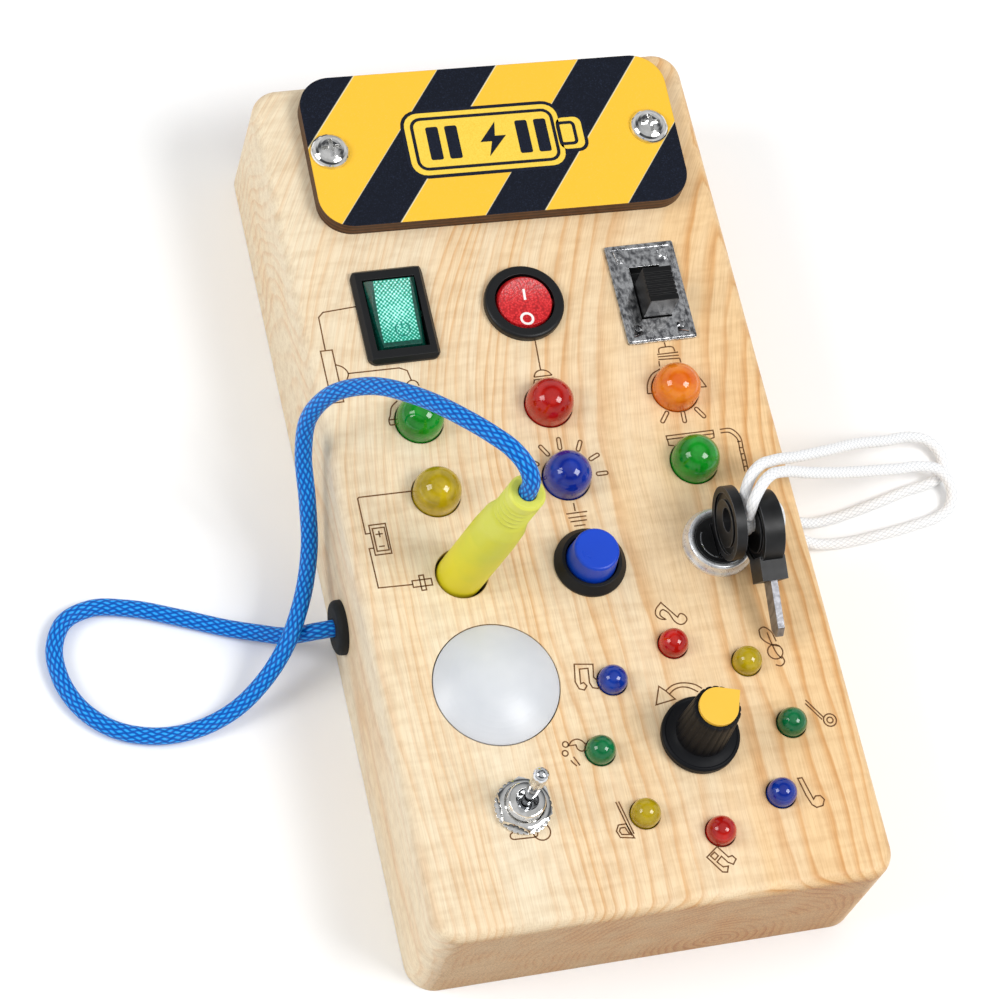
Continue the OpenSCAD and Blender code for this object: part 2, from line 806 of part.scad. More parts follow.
module battery_door() {
    color("dimgray")
        difference() {
            translate([-window_w / 2 + panel_gap, box_y - window_l / 2 + panel_gap, 0])
                cube([window_w - 2 * panel_gap, window_l - 2 * panel_gap, panel_t]);
            translate([0, door_screw_y, 0])
                screw_seat();
            for (i = [0:3])
                translate([-8, pocket_y - pocket_l / 2 + 3 + 2.4 * i, -1])
                    cube([16, 1.2, 1.5]);
        }
}

// Puts its children at each cell, every second one turned round
module at_cells() {
    for (i = [0:cell_count - 1])
        translate([0, pocket_y + (i - (cell_count - 1) / 2) * cell_pitch,
            panel_t + cell_d / 2 + cell_rest / 2])
            rotate([0, 0, 180 * (i % 2)])
                children();
}

module cells() {
    color("seagreen")
        at_cells()
            translate([-cell_l / 2 + contact_l / 2, 0, 0])
                rotate([0, 90, 0]) {
                    cylinder(r = cell_d / 2, h = cell_l - 1);
                    cylinder(r = 1.9, h = cell_l);
                }
}

module cell_contacts() {
    color("silver")
        at_cells() {
            for (x = [-pocket_w / 2, pocket_w / 2 - contact_t])
                translate([x, -cell_d * 0.4, -cell_d * 0.4])
                    cube([contact_t, cell_d * 0.8, cell_d * 0.8]);
            translate([-pocket_w / 2 + contact_t, 0, 0])
                rotate([0, 90, 0])
                    coil(3, 0.8, contact_l, 3);
        }
}

// ---- Control board and wiring ----

module control_board() {
    color("darkgreen")
        difference() {
            translate([-board_pcb_w / 2, pcb_y - board_pcb_l / 2, pcb_z])
                cube([board_pcb_w, board_pcb_l, board_pcb_t]);
            at_spacers()
                translate([0, 0, pcb_z - 1])
                    cylinder(r = 1.2, h = board_pcb_t + 2);
        }
    color("ivory")
        at_spacers()
            translate([0, 0, panel_t])
                ring(spacer_r, 1.2, spacer_h);
    color("black")
        for (p = [[-12, 8, 15, 8], [9, 4, 9, 9], [-4, -16, 7, 5], [14, -14, 5, 11]])
            translate([p[0] - p[2] / 2, pcb_y + p[1] - p[3] / 2, pcb_top])
                cube([p[2], p[3], 1.8]);
    color("white")
        for (h = concat([for (w = wire_ends()) w[1]], [[8, pcb_y + board_pcb_l / 2 - header_w],
            [-27, grommet_y - 5]]))
            translate([h[0] - header_w / 2, h[1] - header_w / 2, pcb_top])
                cube([header_w, header_w, header_h]);
}

module at_spacers() {
    for (x = [-1, 1], y = [-1, 1])
        translate([x * (board_pcb_w / 2 - spacer_in), pcb_y + y * (board_pcb_l / 2 - spacer_in), 0])
            children();
}

// Each wire's upper end [x, y, z] and the place [x, y] of its header on the control board
function wire_ends() = let (
    edge = pcb_y + board_pcb_l / 2 - header_w,
    foot = pcb_y - board_pcb_l / 2 + header_w,
    low = board_h - face_t,
    lamp_z = lamp_board_z - lamp_board_t
) [
    [[-column_x, green_y, board_h - rocker_depth - lug_l], [-22, edge]],
    [[0, switch_y - 4, board_h + 1 - rocker_depth - lug_l], [-2, edge]],
    [[column_x - 3.4, slide_y - 6, board_h - slide_case_h - lug_l], [22, edge]],
    [[-16, lamp_low_y + 10, lamp_z], [-16, lamp_low_y + 10]],
    [[16, lamp_low_y + 10, lamp_z], [16, lamp_low_y + 10]],
    [[push_x + 4, push_y, board_h - push_depth - lug_l], [push_x + 4, push_y]],
    [[-toggle_x, toggle_y - 1.4, low - toggle_case_h - lug_l], [-24, foot]],
    [[-dome_x + 11, dome_y, low - dome_flange_t - lamp_board_t], [-14, foot]],
    [[knob_x, knob_y, low - rotary_case_h - lug_l], [15, foot]],
    [[ring_x + ring_r, knob_y, lamp_z], [23, foot]],
    [[lock_x - 3, lock_y + 3, board_h - lock_depth], [23, lock_y + 3]],
    [[plug_x - 3.1, plug_y + 1, 15], [-25, plug_y + 1]]
];

// Wire from [x, y, z] at a straight down, across and into the header at b
module wire(a, b) {
    across = [b[0] - a[0], b[1] - a[1], 0];
    bends = norm(across) < 1 ? [] : [[a[0], a[1], wire_z + 0.6],
        [a[0], a[1], wire_z] + 0.1 * across, [b[0], b[1], wire_z]];
    tube(concat([a], bends, [[b[0], b[1], pcb_top + header_h]]), wire_d / 2, 6);
}

module wiring() {
    edge = pcb_y + board_pcb_l / 2 - header_w;
    color("firebrick") {
        for (w = wire_ends())
            wire(w[0], w[1]);
        tube([[8, box_y - box_l / 2, wire_z], [8, edge, wire_z],
            [8, edge, pcb_top + header_h]], wire_d / 2, 6);
        tube([[cord_end_x, grommet_y, grommet_z], [cord_end_x + 2, grommet_y, grommet_z],
            [cord_end_x + 7, grommet_y - 4, wire_z], [-27, grommet_y - 5, wire_z],
            [-27, grommet_y - 5, pcb_top + header_h]], wire_d / 2, 6);
    }
}

// Flat lug hanging from z = 0 down to z = -lug_l
module lug(turn = 0) {
    rotate([0, 0, turn])
        translate([-lug_w / 2, -lug_t / 2, -lug_l])
            cube([lug_w, lug_t, lug_l]);
}

// The two legs of a lamp, under its flange
module leads(spread) {
    for (s = [-1, 1])
        translate([s * spread, 0, -face_t - lamp_flange_t - led_lead_l])
            cylinder(r = 0.4, h = led_lead_l);
}

module terminals() {
    color("gainsboro") {
        for (y = [-1, 0, 1])
            on_face(-column_x, green_y + y * 7)
                translate([0, 0, -rocker_depth])
                    lug();
        for (y = [-1, 1])
            on_face(0, switch_y + y * 4)
                translate([0, 0, 1 - rocker_depth])
                    lug();
        for (x = [-1, 1], y = [-1, 0, 1])
            on_face(column_x + x * 3.4, slide_y + y * 5 - 1)
                translate([0, 0, -slide_case_h])
                    lug(90);
        for (x = [-1, 1])
            on_face(push_x + x * 4, push_y)
                translate([0, 0, -push_depth])
                    lug(90);
        for (y = [-1, 0, 1])
            on_face(-toggle_x, toggle_y + y * 4.7 - 1.4)
                translate([0, 0, -face_t - toggle_case_h])
                    lug();
        for (x = [-1, 0, 1])
            on_face(knob_x + x * 5, knob_y)
                translate([0, 0, -face_t - rotary_case_h])
                    lug(90);
        for (x = [-1, 0, 1], y = [lamp_high_y, lamp_low_y])
            on_face(x * column_x, y)
                leads(1.8);
        for (i = [0:ring_count - 1])
            on_face(ring_lamp_x(i), ring_lamp_y(i))
                leads(1.27);
    }
}

// ---- Rockers ----

// Bezel with sloping sides, w by l, on the face
module sloped_block(w, l, h, slope, r) {
    intersection() {
        linear_extrude(h)
            rounded_rect(w, l, r);
        rotate([90, 0, 0])
            linear_extrude(l + 1, center = true)
                polygon(slope_profile(w, h, slope));
        rotate([90, 0, 90])
            linear_extrude(w + 1, center = true)
                polygon(slope_profile(l, h, slope));
    }
}

function slope_profile(w, h, slope) =
    [[-w / 2, 0], [w / 2, 0], [w / 2, h * 0.4], [w / 2 - slope, h],
    [slope - w / 2, h], [-w / 2, h * 0.4]];

// Pivot pins or their bores along X
module cross_pins(half_w, r, reach) {
    translate([-half_w - reach, 0, 0])
        rotate([0, 90, 0])
            cylinder(r = r, h = 2 * (half_w + reach));
}

module green_rocker_frame() {
    color("#26282b")
        on_face(-column_x, green_y)
            difference() {
                union() {
                    sloped_block(rect_bezel_w, rect_bezel_l, bezel_h, 1, 2.2);
                    translate([-rect_body_w / 2, -rect_body_l / 2, -rocker_depth])
                        cube([rect_body_w, rect_body_l, rocker_depth + 0.5]);
                }
                translate([-rect_open_w / 2, -rect_open_l / 2, rocker_floor_z])
                    cube([rect_open_w, rect_open_l, bezel_h - rocker_floor_z + 1]);
                translate([0, 0, cap_pivot_z])
                    cross_pins(rect_open_w / 2, rocker_pin_r + shaft_gap, pin_reach);
            }
}

module green_rocker_cap() {
    top_y = cap_r * cos(cap_top_a);
    top_z = cap_r * sin(cap_top_a);
    half_w = rect_open_w / 2 - run_gap;
    color("#17a27a")
        on_face(-column_x, green_y)
            translate([0, 0, cap_pivot_z])
                rotate([rocker_tilt, 0, 0]) {
                    intersection() {
                        rotate([90, 0, 90])
                            linear_extrude(2 * half_w, center = true)
                                polygon(concat(arc(0, 0, cap_r, cap_top_a, -cap_low_a),
                                    arc(0, 0, cap_r, 180 + cap_low_a, 180 - cap_top_a),
                                    [for (i = [-5:5]) [top_y * i / 6,
                                        top_z - cap_dip * (1 - pow(i / 6, 2))]]));
                        rotate([90, 0, 0])
                            linear_extrude(2 * cap_r + 2, center = true)
                                polygon([[-half_w, -cap_r - 1], [half_w, -cap_r - 1],
                                    [half_w, top_z - cap_bevel_h], [half_w - cap_bevel_w, top_z],
                                    [half_w - cap_bevel_w, top_z + 1],
                                    [cap_bevel_w - half_w, top_z + 1],
                                    [cap_bevel_w - half_w, top_z], [-half_w, top_z - cap_bevel_h]]);
                    }
                    cross_pins(half_w, rocker_pin_r, pin_reach);
                }
}

module red_rocker_frame() {
    color("#1d1e20")
        on_face(0, switch_y)
            difference() {
                union() {
                    rotate_extrude()
                        polygon(concat([[0, 0], [round_bezel_r, 0]],
                            arc(round_bezel_r - 0.9, bezel_h - 0.9, 0.9, 0, 90),
                            [[0, bezel_h]]));
                    translate([0, 0, 1 - rocker_depth])
                        cylinder(r = round_body_r, h = rocker_depth);
                }
                translate([0, 0, rocker_floor_z])
                    cylinder(r = round_open_r, h = bezel_h - rocker_floor_z + 1);
                translate([0, 0, round_pivot_z])
                    cross_pins(round_open_r, rocker_pin_r + shaft_gap, pin_reach);
            }
}

module red_rocker_cap() {
    color("#e0323c")
        on_face(0, switch_y)
            translate([0, 0, round_pivot_z])
                rotate([rocker_tilt, 0, 0]) {
                    difference() {
                        sphere(r = round_cap_r);
                        translate([-hollow_r, -hollow_r, -2 * hollow_r - round_cap_low])
                            cube(2 * hollow_r);
                        translate([-hollow_r, -hollow_r, round_cap_top])
                            cube(2 * hollow_r);
                        translate([-hollow_r, 0, round_cap_top - cap_dip + hollow_r])
                            rotate([0, 90, 0])
                                cylinder(r = hollow_r, h = 2 * hollow_r);
                    }
                    cross_pins(round_open_r - run_gap - 1, rocker_pin_r, pin_reach + 1);
                }
}

// ---- Slide switch ----

module slide_switch_plate() {
    color("silver")
        on_face(column_x, slide_y)
            difference() {
                union() {
                    linear_extrude(slide_plate_t)
                        rounded_rect(slide_plate_w, slide_plate_l, 0.6);
                    for (x = [-1, 1], y = [-1, 1])
                        translate([x * (slide_plate_w / 2 - 3.4), y * (slide_plate_l / 2 - 4),
                            slide_plate_t])
                            cylinder(r1 = 1.3, r2 = 0.7, h = 0.4);
                }
                translate([-slide_slot_w / 2, -slide_slot_l / 2, -1])
                    cube([slide_slot_w, slide_slot_l, slide_plate_t + 2]);
            }
}

module slide_switch_case() {
    hollow_w = slide_foot_w + 2 * run_gap;
    hollow_l = slide_foot_l + slide_travel + 2 * run_gap;
    color("dimgray")
        on_face(column_x, slide_y)
            difference() {
                translate([-slide_case_w / 2, -slide_case_l / 2, -slide_case_h])
                    cube([slide_case_w, slide_case_l, slide_case_h]);
                translate([-hollow_w / 2, -hollow_l / 2, -slide_foot_h - 2 * run_gap])
                    cube([hollow_w, hollow_l, slide_case_h]);
            }
}

module slide_switch_knob() {
    top = slide_plate_t + slide_knob_h;
    rib_n = floor(slide_knob_l / slide_rib_pitch) - 1;
    color("#141415")
        on_face(column_x, slide_y + slide_knob_y)
            difference() {
                union() {
                    translate([-slide_knob_w / 2, -slide_knob_l / 2, -slide_foot_h - run_gap])
                        cube([slide_knob_w, slide_knob_l, top + slide_foot_h + run_gap]);
                    translate([-slide_foot_w / 2, -slide_foot_l / 2, -slide_foot_h - run_gap])
                        cube([slide_foot_w, slide_foot_l, slide_foot_h]);
                }
                for (i = [0:rib_n - 1])
                    translate([-slide_knob_w, (i - (rib_n - 1) / 2) * slide_rib_pitch - 0.25,
                        top - 0.6])
                        cube([2 * slide_knob_w, 0.5, 1]);
            }
}

// ---- Push button ----

module push_button_bezel() {
    color("#1f2022")
        on_face(push_x, push_y)
            difference() {
                union() {
                    rotate_extrude()
                        polygon([[0, 0], [push_bezel_r, 0], [push_bezel_r, 0.8],
                            [push_bore_r + 0.9, push_bezel_h], [0, push_bezel_h]]);
                    translate([0, 0, -push_depth])
                        cylinder(r = push_barrel_r, h = push_depth + 0.5);
                }
                translate([0, 0, push_lip_z - 1])
                    cylinder(r = push_bore_r, h = push_bezel_h - push_lip_z + 2);
                translate([0, 0, -push_depth + push_floor_t])
                    cylinder(r = push_bore_r + 0.5, h = push_depth - push_floor_t + push_lip_z);
            }
}

module push_button_cap() {
    foot_z = push_lip_z - push_flange_t;
    color("#1546c8")
        on_face(push_x, push_y)
            rotate_extrude()
                polygon(concat([[0, foot_z], [push_flange_r, foot_z], [push_flange_r, push_lip_z],
                    [push_cap_r, push_lip_z], [push_cap_r, 1.5]],
                    arc(push_top_r - 0.8, push_cap_h - 0.8, 0.8, 5, 90), [[0, push_cap_h]]));
}

module push_button_spring() {
    floor_z = -push_depth + push_floor_t;
    color("silver")
        on_face(push_x, push_y)
            translate([0, 0, floor_z])
                coil(push_spring_r, push_spring_wire,
                    push_lip_z - push_flange_t - floor_z - 0.02, 6);
}

module push_button_nut() {
    color("#2b2c2e")
        on_face(push_x, push_y)
            translate([0, 0, -face_t - ring_nut_t])
                difference() {
                    hexagon(push_nut_af, ring_nut_t);
                    translate([0, 0, -1])
                        cylinder(r = push_barrel_r + thread_gap, h = ring_nut_t + 2);
                }
}

// ---- Lock and keys ----

module lock_body() {
    color("#c9ccd0")
        on_face(lock_x, lock_y)
            difference() {
                union() {
                    rotate_extrude()
                        polygon(concat([[0, 0], [lock_ring_r, 0], [lock_ring_r, 0.7]],
                            arc(lock_rim_r, lock_ring_h - 1, 1, 30, 90, 4),
                            [[0, lock_ring_h]]));
                    translate([0, 0, -lock_depth])
                        cylinder(r = lock_barrel_r, h = lock_depth + 0.5);
                }
                translate([0, 0, -lock_depth + lock_floor_t])
                    cylinder(r = lock_core_r + shaft_gap, h = lock_depth + lock_ring_h);
            }
}

module lock_core() {
    color("#202124")
        on_face(lock_x, lock_y)
            difference() {
                translate([0, 0, -lock_depth + lock_floor_t + 0.2])
                    cylinder(r = lock_core_r, h = lock_core_top + lock_depth - lock_floor_t - 0.2);
                translate([-key_blade_t / 2 - keyway_gap, -key_blade_w / 2 - keyway_gap,
                    key_head_z - key_reach - 0.6])
                    cube([key_blade_t + 2 * keyway_gap, key_blade_w + 2 * keyway_gap,
                        key_reach]);
                translate([-mouth_w / 2, -mouth_l / 2, mouth_z])
                    cube([mouth_w, mouth_l, lock_core_top - mouth_z + 1]);
            }
}

module lock_nut() {
    color("#b9bcc0")
        on_face(lock_x, lock_y)
            translate([0, 0, -face_t - ring_nut_t])
                difference() {
                    hexagon(lock_nut_af, ring_nut_t);
                    translate([0, 0, -1])
                        cylinder(r = lock_barrel_r + thread_gap, h = ring_nut_t + 2);
                }
}

// Flat side view of a key's head, its centre at [0, 0] and its blade towards -Y
module key_head_outline() {
    circle(key_head_r);
    translate([-key_neck_w / 2, -key_head_r - key_neck_l])
        square([key_neck_w, key_head_r]);
}

// Key head of thickness t in the YZ plane, its blade towards -Z
module key_head_shape(t) {
    pocket = 0.7;
    difference() {
        rotate([90, 0, 90])
            linear_extrude(t, center = true)
                difference() {
                    key_head_outline();
                    translate([0, key_hole_up])
                        circle(key_hole_r);
                    translate([-key_tang_w / 2, -key_head_r - key_neck_l - 1])
                        square([key_tang_w, key_tang_l + 1]);
                }
        for (s = [-1, 1])
            translate([s * t / 2, 0, 0])
                rotate([0, 90, 0])
                    translate([0, 0, -pocket])
                        ring(key_head_r - 1.6, key_head_r - 3.4, 2 * pocket);
    }
    // the head closes over the blade's tang on both broad sides
    for (s = [-1, 1])
        translate([s * (t / 2 + key_blade_t / 2) / 2 - (t - key_blade_t) / 4,
            -key_tang_w / 2, -key_head_r - key_neck_l])
            cube([(t - key_blade_t) / 2, key_tang_w, key_tang_l]);
}

// Key blade in the YZ plane, from its tang in the head down to its tip
module key_blade_shape() {
    top = -key_head_r - key_neck_l;
    rotate([90, 0, 90])
        linear_extrude(key_blade_t, center = true)
            polygon([[-key_tang_w / 2, top + key_tang_l], [key_tang_w / 2, top + key_tang_l],
                [key_tang_w / 2, top], [key_blade_w / 2, top],
                [key_blade_w / 2, 2 - key_reach], [key_blade_w / 2 - 2.2, -key_reach],
                [2.2 - key_blade_w / 2, -key_reach], [-key_blade_w / 2, 2 - key_reach],
                [-key_blade_w / 2, top], [-key_tang_w / 2, top]]);
}

module inserted_key() {
    on_face(lock_x, lock_y)
        translate([0, 0, key_head_z])
            children();
}

module hanging_key() {
    on_face(lock_x + hang_x, hang_y)
        translate([0, 0, hang_z])
            rotate([hang_slope - 90, 0, 0])
                children();
}

module key_head() {
    color("#1b1c1e")
        inserted_key()
            key_head_shape(key_head_t);
}

module key_blade() {
    color("silver")
        inserted_key()
            key_blade_shape();
}

module hanging_key_head() {
    color("#1b1c1e")
        hanging_key() {
            key_head_shape(spare_head_t);
            // collar where the blade enters, thicker than the head
            for (x = [-spare_collar_t / 2, spare_head_t / 2 - 0.3])
                translate([x, -key_neck_w / 2, -key_head_r - key_neck_l])
                    cube([(spare_collar_t - spare_head_t) / 2 + 0.3, key_neck_w, spare_collar_l]);
        }
}

module hanging_key_blade() {
    color("silver")
        hanging_key()
            key_blade_shape();
}

module tether_upper() {
    color("white")
        tube(upper_route, tether_d / 2, 8);
}

module tether_lower() {
    color("white")
        tube(lower_route, tether_d / 2, 8);
}

// Knot between the keys' heads, its neck through the hanging key's hole
module tether_knot() {
    gap_l = hang_x - (key_head_t + spare_head_t) / 2;
    neck_l = spare_head_t + 1.2;
    color("white")
        translate([lock_x + key_head_t / 2, hang_hole_y, board_h + hang_hole_z])
            rotate([0, 90, 0])
                rotate_extrude()
                    polygon(concat([[0, 0.4]], arc(knot_r - 1, 1.4, 1, -90, 0, 4),
                        arc(knot_r - 1, gap_l - 1.3, 1, 0, 90, 4),
                        [[knot_neck_r, gap_l - 0.3], [knot_neck_r, gap_l + neck_l - 0.9]],
                        arc(knot_r - 0.6, gap_l + neck_l + 0.3, 1.2, -60, 90),
                        [[0, gap_l + neck_l + 1.5]]));
}

// Knot inside the block that stops both strands of the tether
module tether_stop() {
    color("white")
        translate([tether_stop_x, tether_exit_y, tether_exit_z])
            rotate([0, -90, 0])
                cylinder(r = tether_pitch + tether_d / 2 + 0.6, h = 5);
}

// ---- Toggle switch ----

module toggle_case() {
    color("#2f55b0")
        on_face(-toggle_x, toggle_y)
            translate([-toggle_case_w / 2, -toggle_case_l / 2, -face_t - toggle_case_h])
                cube([toggle_case_w, toggle_case_l, toggle_case_h]);
}

module toggle_bushing() {
    color("#c4c7cb")
        on_face(-toggle_x, toggle_y)
            difference() {
                translate([0, 0, -face_t])
                    cylinder(r = bushing_r, h = face_t + bushing_h);
                translate([0, 0, lever_pivot_z])
                    sphere(r = lever_ball_r + shaft_gap);
                translate([0, 0, lever_pivot_z])
                    cylinder(r1 = 1.9, r2 = toggle_bore_r, h = bushing_h - lever_pivot_z + 0.1);
            }
}

module toggle_washer() {
    color("silver")
        on_face(-toggle_x, toggle_y)
            difference() {
                linear_extrude(washer_t)
                    polygon([for (i = [0:2 * washer_teeth - 1])
                        let (r = i % 2 == 0 ? washer_r : washer_r - 0.7, a = 180 * i / washer_teeth)
                        [r * cos(a), r * sin(a)]]);
                translate([0, 0, -1])
                    cylinder(r = bushing_r + thread_gap, h = washer_t + 2);
            }
}

module toggle_nut() {
    color("silver")
        on_face(-toggle_x, toggle_y)
            translate([0, 0, toggle_nut_z])
                difference() {
                    hexagon(toggle_nut_af, toggle_nut_h);
                    translate([0, 0, -1])
                        cylinder(r = bushing_r + thread_gap, h = toggle_nut_h + 2);
                }
}

module toggle_lever() {
    tip = lever_h - lever_pivot_z;
    color("#c9ccd0")
        on_face(-toggle_x, toggle_y)
            translate([0, 0, lever_pivot_z]) {
                sphere(r = lever_ball_r);
                rotate_extrude()
                    polygon(concat([[0, 0], [lever_foot_r, 0], [lever_foot_r, bushing_h],
                        [lever_tip_r * 0.93, tip - 2 * lever_tip_r]],
                        arc(0, tip - lever_tip_r, lever_tip_r, -10, 90, 10)));
            }
}

// ---- Knob and rotary control ----

module knob() {
    color("#232426")
        on_face(knob_x, knob_y)
            difference() {
                rotate_extrude()
                    polygon([[0, skirt_gap], [skirt_r, skirt_gap], [skirt_r, skirt_h],
                        [barrel_foot_r, skirt_h + skirt_slope_h], [barrel_top_r, knob_h - 0.4],
                        [barrel_top_r - 0.4, knob_h], [0, knob_h]]);
                translate([0, 0, -1])
                    cylinder(r = skirt_hollow_r, h = skirt_hollow_h + 1);
                cylinder(r = shaft_r + thread_gap, h = skirt_hollow_h + knob_bore_l);
            }
}

module knob_pointer() {
    a = acos(pointer_r / pointer_reach);
    color("#f2c63e")
        on_face(knob_x, knob_y)
            translate([0, 0, knob_h])
                rotate([0, 0, pointer_angle])
                    linear_extrude(pointer_t)
                        polygon(concat([[pointer_reach, 0]],
                            arc(0, 0, pointer_r, a, 360 - a, 32)));
}

module rotary_case() {
    color("#3a6f4c")
        on_face(knob_x, knob_y)
            difference() {
                union() {
                    translate([0, 0, -face_t - rotary_case_h])
                        cylinder(r = rotary_case_r, h = rotary_case_h);
                    translate([0, 0, -face_t - 0.5])
                        cylinder(r = rotary_bushing_r, h = face_t + rotary_bushing_h + 0.5);
                }
                translate([0, 0, -face_t - rotary_case_h + 2])
                    cylinder(r = shaft_r + shaft_gap, h = face_t + rotary_case_h + bushing_h);
            }
}

module rotary_shaft() {
    foot = -face_t - rotary_case_h + 2.3;
    color("silver")
        on_face(knob_x, knob_y)
            translate([0, 0, foot])
                cylinder(r = shaft_r, h = skirt_hollow_h + knob_bore_l - foot - 0.2);
}

module rotary_nut() {
    color("silver")
        on_face(knob_x, knob_y)
            difference() {
                hexagon(rotary_nut_af, rotary_nut_h);
                translate([0, 0, -1])
                    cylinder(r = rotary_bushing_r + thread_gap, h = rotary_nut_h + 2);
            }
}

// ---- Lamps ----

function ring_lamp_x(i) = ring_x + ring_r * sin(360 * i / ring_count);
function ring_lamp_y(i) = knob_y + ring_r * cos(360 * i / ring_count);

// Lens with a round top, a straight side and a flange behind the wood
module lamp(r, side_h) {
    flange_r = r + lamp_flange_w;
    rotate_extrude()
        polygon(concat([[0, -face_t - lamp_flange_t], [flange_r, -face_t - lamp_flange_t],
            [flange_r, -face_t], [r, -face_t]], arc(0, side_h, r, 0, 90, 12)));
}

module big_lamp(column, y) {
    on_face(column * column_x, y)
        lamp(big_lens_r, big_side_h);
}

// Small lamps at the ring's places first, first + 4 and so on
module small_lamps(first) {
    for (i = [first:4:ring_count - 1])
        on_face(ring_lamp_x(i), ring_lamp_y(i))
            lamp(small_lens_r, small_side_h);
}

module big_lamp_red() {
    color("#c31a14")
        big_lamp(0, lamp_high_y);
}

module big_lamp_orange() {
    color("#ee7f1c")
        big_lamp(1, lamp_high_y);
}

module big_lamp_yellow() {
    color("#c9a80f")
        big_lamp(-1, lamp_low_y);
}

module big_lamp_blue() {
    color("#1b2f9e")
        big_lamp(0, lamp_low_y);
}

module big_lamps_green() {
    color("#127a22") {
        big_lamp(-1, lamp_high_y);
        big_lamp(1, lamp_low_y);
    }
}

module small_lamps_red() {
    color("#c31a14")
        small_lamps(0);
}

module small_lamps_yellow() {
    color("#c9a80f")
        small_lamps(1);
}

module small_lamps_green() {
    color("#0e7a45")
        small_lamps(2);
}

module small_lamps_blue() {
    color("#1b3fa8")
        small_lamps(3);
}

module dome_lens() {
    curve_r = (dome_r * dome_r + dome_h * dome_h) / (2 * dome_h);
    half_a = asin(dome_r / curve_r);
    inner_r = dome_r - dome_wall;
    color("#e6e7ec")
        on_face(-dome_x, dome_y)
            rotate_extrude()
                polygon(concat([[dome_flange_r, -face_t - dome_flange_t], [dome_flange_r, -face_t],
                    [dome_r, -face_t]],
                    arc(0, dome_h - curve_r, curve_r, 90 - half_a, 90, 12),
                    arc(0, dome_h - curve_r, curve_r - dome_wall, 90,
                        90 - asin(inner_r / (curve_r - dome_wall)), 12),
                    [[inner_r, -face_t - dome_flange_t]]));
}

// Circuit boards that the lamps' legs stand on: under the dome, the large lamps and the ring
module lamp_boards() {
    z = -face_t - dome_flange_t;
    color("white") {
        on_face(-dome_x, dome_y)
            translate([0, 0, z - lamp_board_t])
                cylinder(r = dome_r, h = lamp_board_t);
        translate([0, (lamp_high_y + lamp_low_y) / 2, lamp_board_z - lamp_board_t])
            linear_extrude(lamp_board_t)
                rounded_rect(lamp_board_w, lamp_board_l, 2);
        translate([knob_x, knob_y, lamp_board_z - lamp_board_t])
            ring(ring_r + 4, ring_r - 4, lamp_board_t);
    }
    color("khaki")
        on_face(-dome_x, dome_y)
            for (a = [0:60:300])
                rotate([0, 0, a])
                    translate([6.6, -1.4, z])
                        cube([2.8, 2.8, 1]);
}

// ---- Jack, plug and cord ----

// Puts its children on the plug's leaning axis, z = 0 at the face
module on_plug_axis() {
    on_face(plug_x, plug_y)
        rotate(plug_lean, [-sin(plug_lean_dir), cos(plug_lean_dir), 0])
            children();
}

module jack_socket() {
    color("#303236")
        difference() {
            union() {
                on_face(plug_x, plug_y)
                    translate([0, 0, -face_t - socket_flange_t])
                        cylinder(r = socket_flange_r, h = socket_flange_t);
                on_plug_axis()
                    translate([0, 0, grip_foot_z - pin_l - 1 - socket_floor_t])
                        cylinder(r = socket_r,
                            h = socket_top_z - grip_foot_z + pin_l + 1 + socket_floor_t);
            }
            on_plug_axis()
                translate([0, 0, grip_foot_z - pin_l - 1])
                    cylinder(r = pin_r + 0.1, h = pin_l + 5);
        }
}

module plug_grip() {
    rib_l = (grip_h - 3 - neck_z) / rib_count;
    color("#dcdc3a")
        on_plug_axis()
            difference() {
                rotate_extrude()
                    polygon(concat([[0, grip_foot_z], [grip_r - 0.4, grip_foot_z],
                        [grip_r, grip_foot_z + 0.4], [grip_r, shoulder_z - 8],
                        [grip_r - 0.3, shoulder_z], [neck_r + 0.2, neck_z]],
                        [for (i = [0:rib_count - 1], s = [0, 1]) [neck_r - 0.5 * s,
                            neck_z + (i + 0.3 + 0.4 * s) * rib_l]],
                        [[neck_r, grip_h - 3], [neck_r, grip_h - 0.6],
                        [neck_r - 0.6, grip_h], [0, grip_h]]));
                translate([0, 0, grip_h - cord_bore_l])
                    cylinder(r = cord_d / 2 + 0.2, h = cord_bore_l + 1);
            }
}

module plug_pin() {
    color("#d9b25a")
        on_plug_axis()
            translate([0, 0, grip_foot_z - pin_l])
                rotate_extrude()
                    polygon([[0, 0], [pin_r * 0.45, 0], [pin_r * 0.9, 2], [pin_r * 0.68, 3.4],
                        [pin_r, 4.4], [pin_r, pin_l], [0, pin_l]]);
}

module blue_cord() {
    color("#1273e0")
        tube(blue_route, cord_d / 2, 10);
}

module cord_grommet() {
    color("#1a1b1c")
        translate([-board_w / 2, grommet_y, grommet_z])
            rotate([0, 90, 0])
                difference() {
                    union() {
                        translate([0, 0, -grommet_t])
                            rotate_extrude()
                                polygon(concat([[0, 0]], arc(grommet_r - 1.4, 1.4, 1.4, -90, 0, 5),
                                    [[grommet_r, grommet_t], [0, grommet_t]]));
                        cylinder(r = grommet_neck_r, h = wall_w + 1);
                    }
                    translate([0, 0, -grommet_t - 1])
                        cylinder(r = cord_d / 2 + 0.2, h = wall_w + grommet_t + 3);
                }
}

// ---- Nodes ----

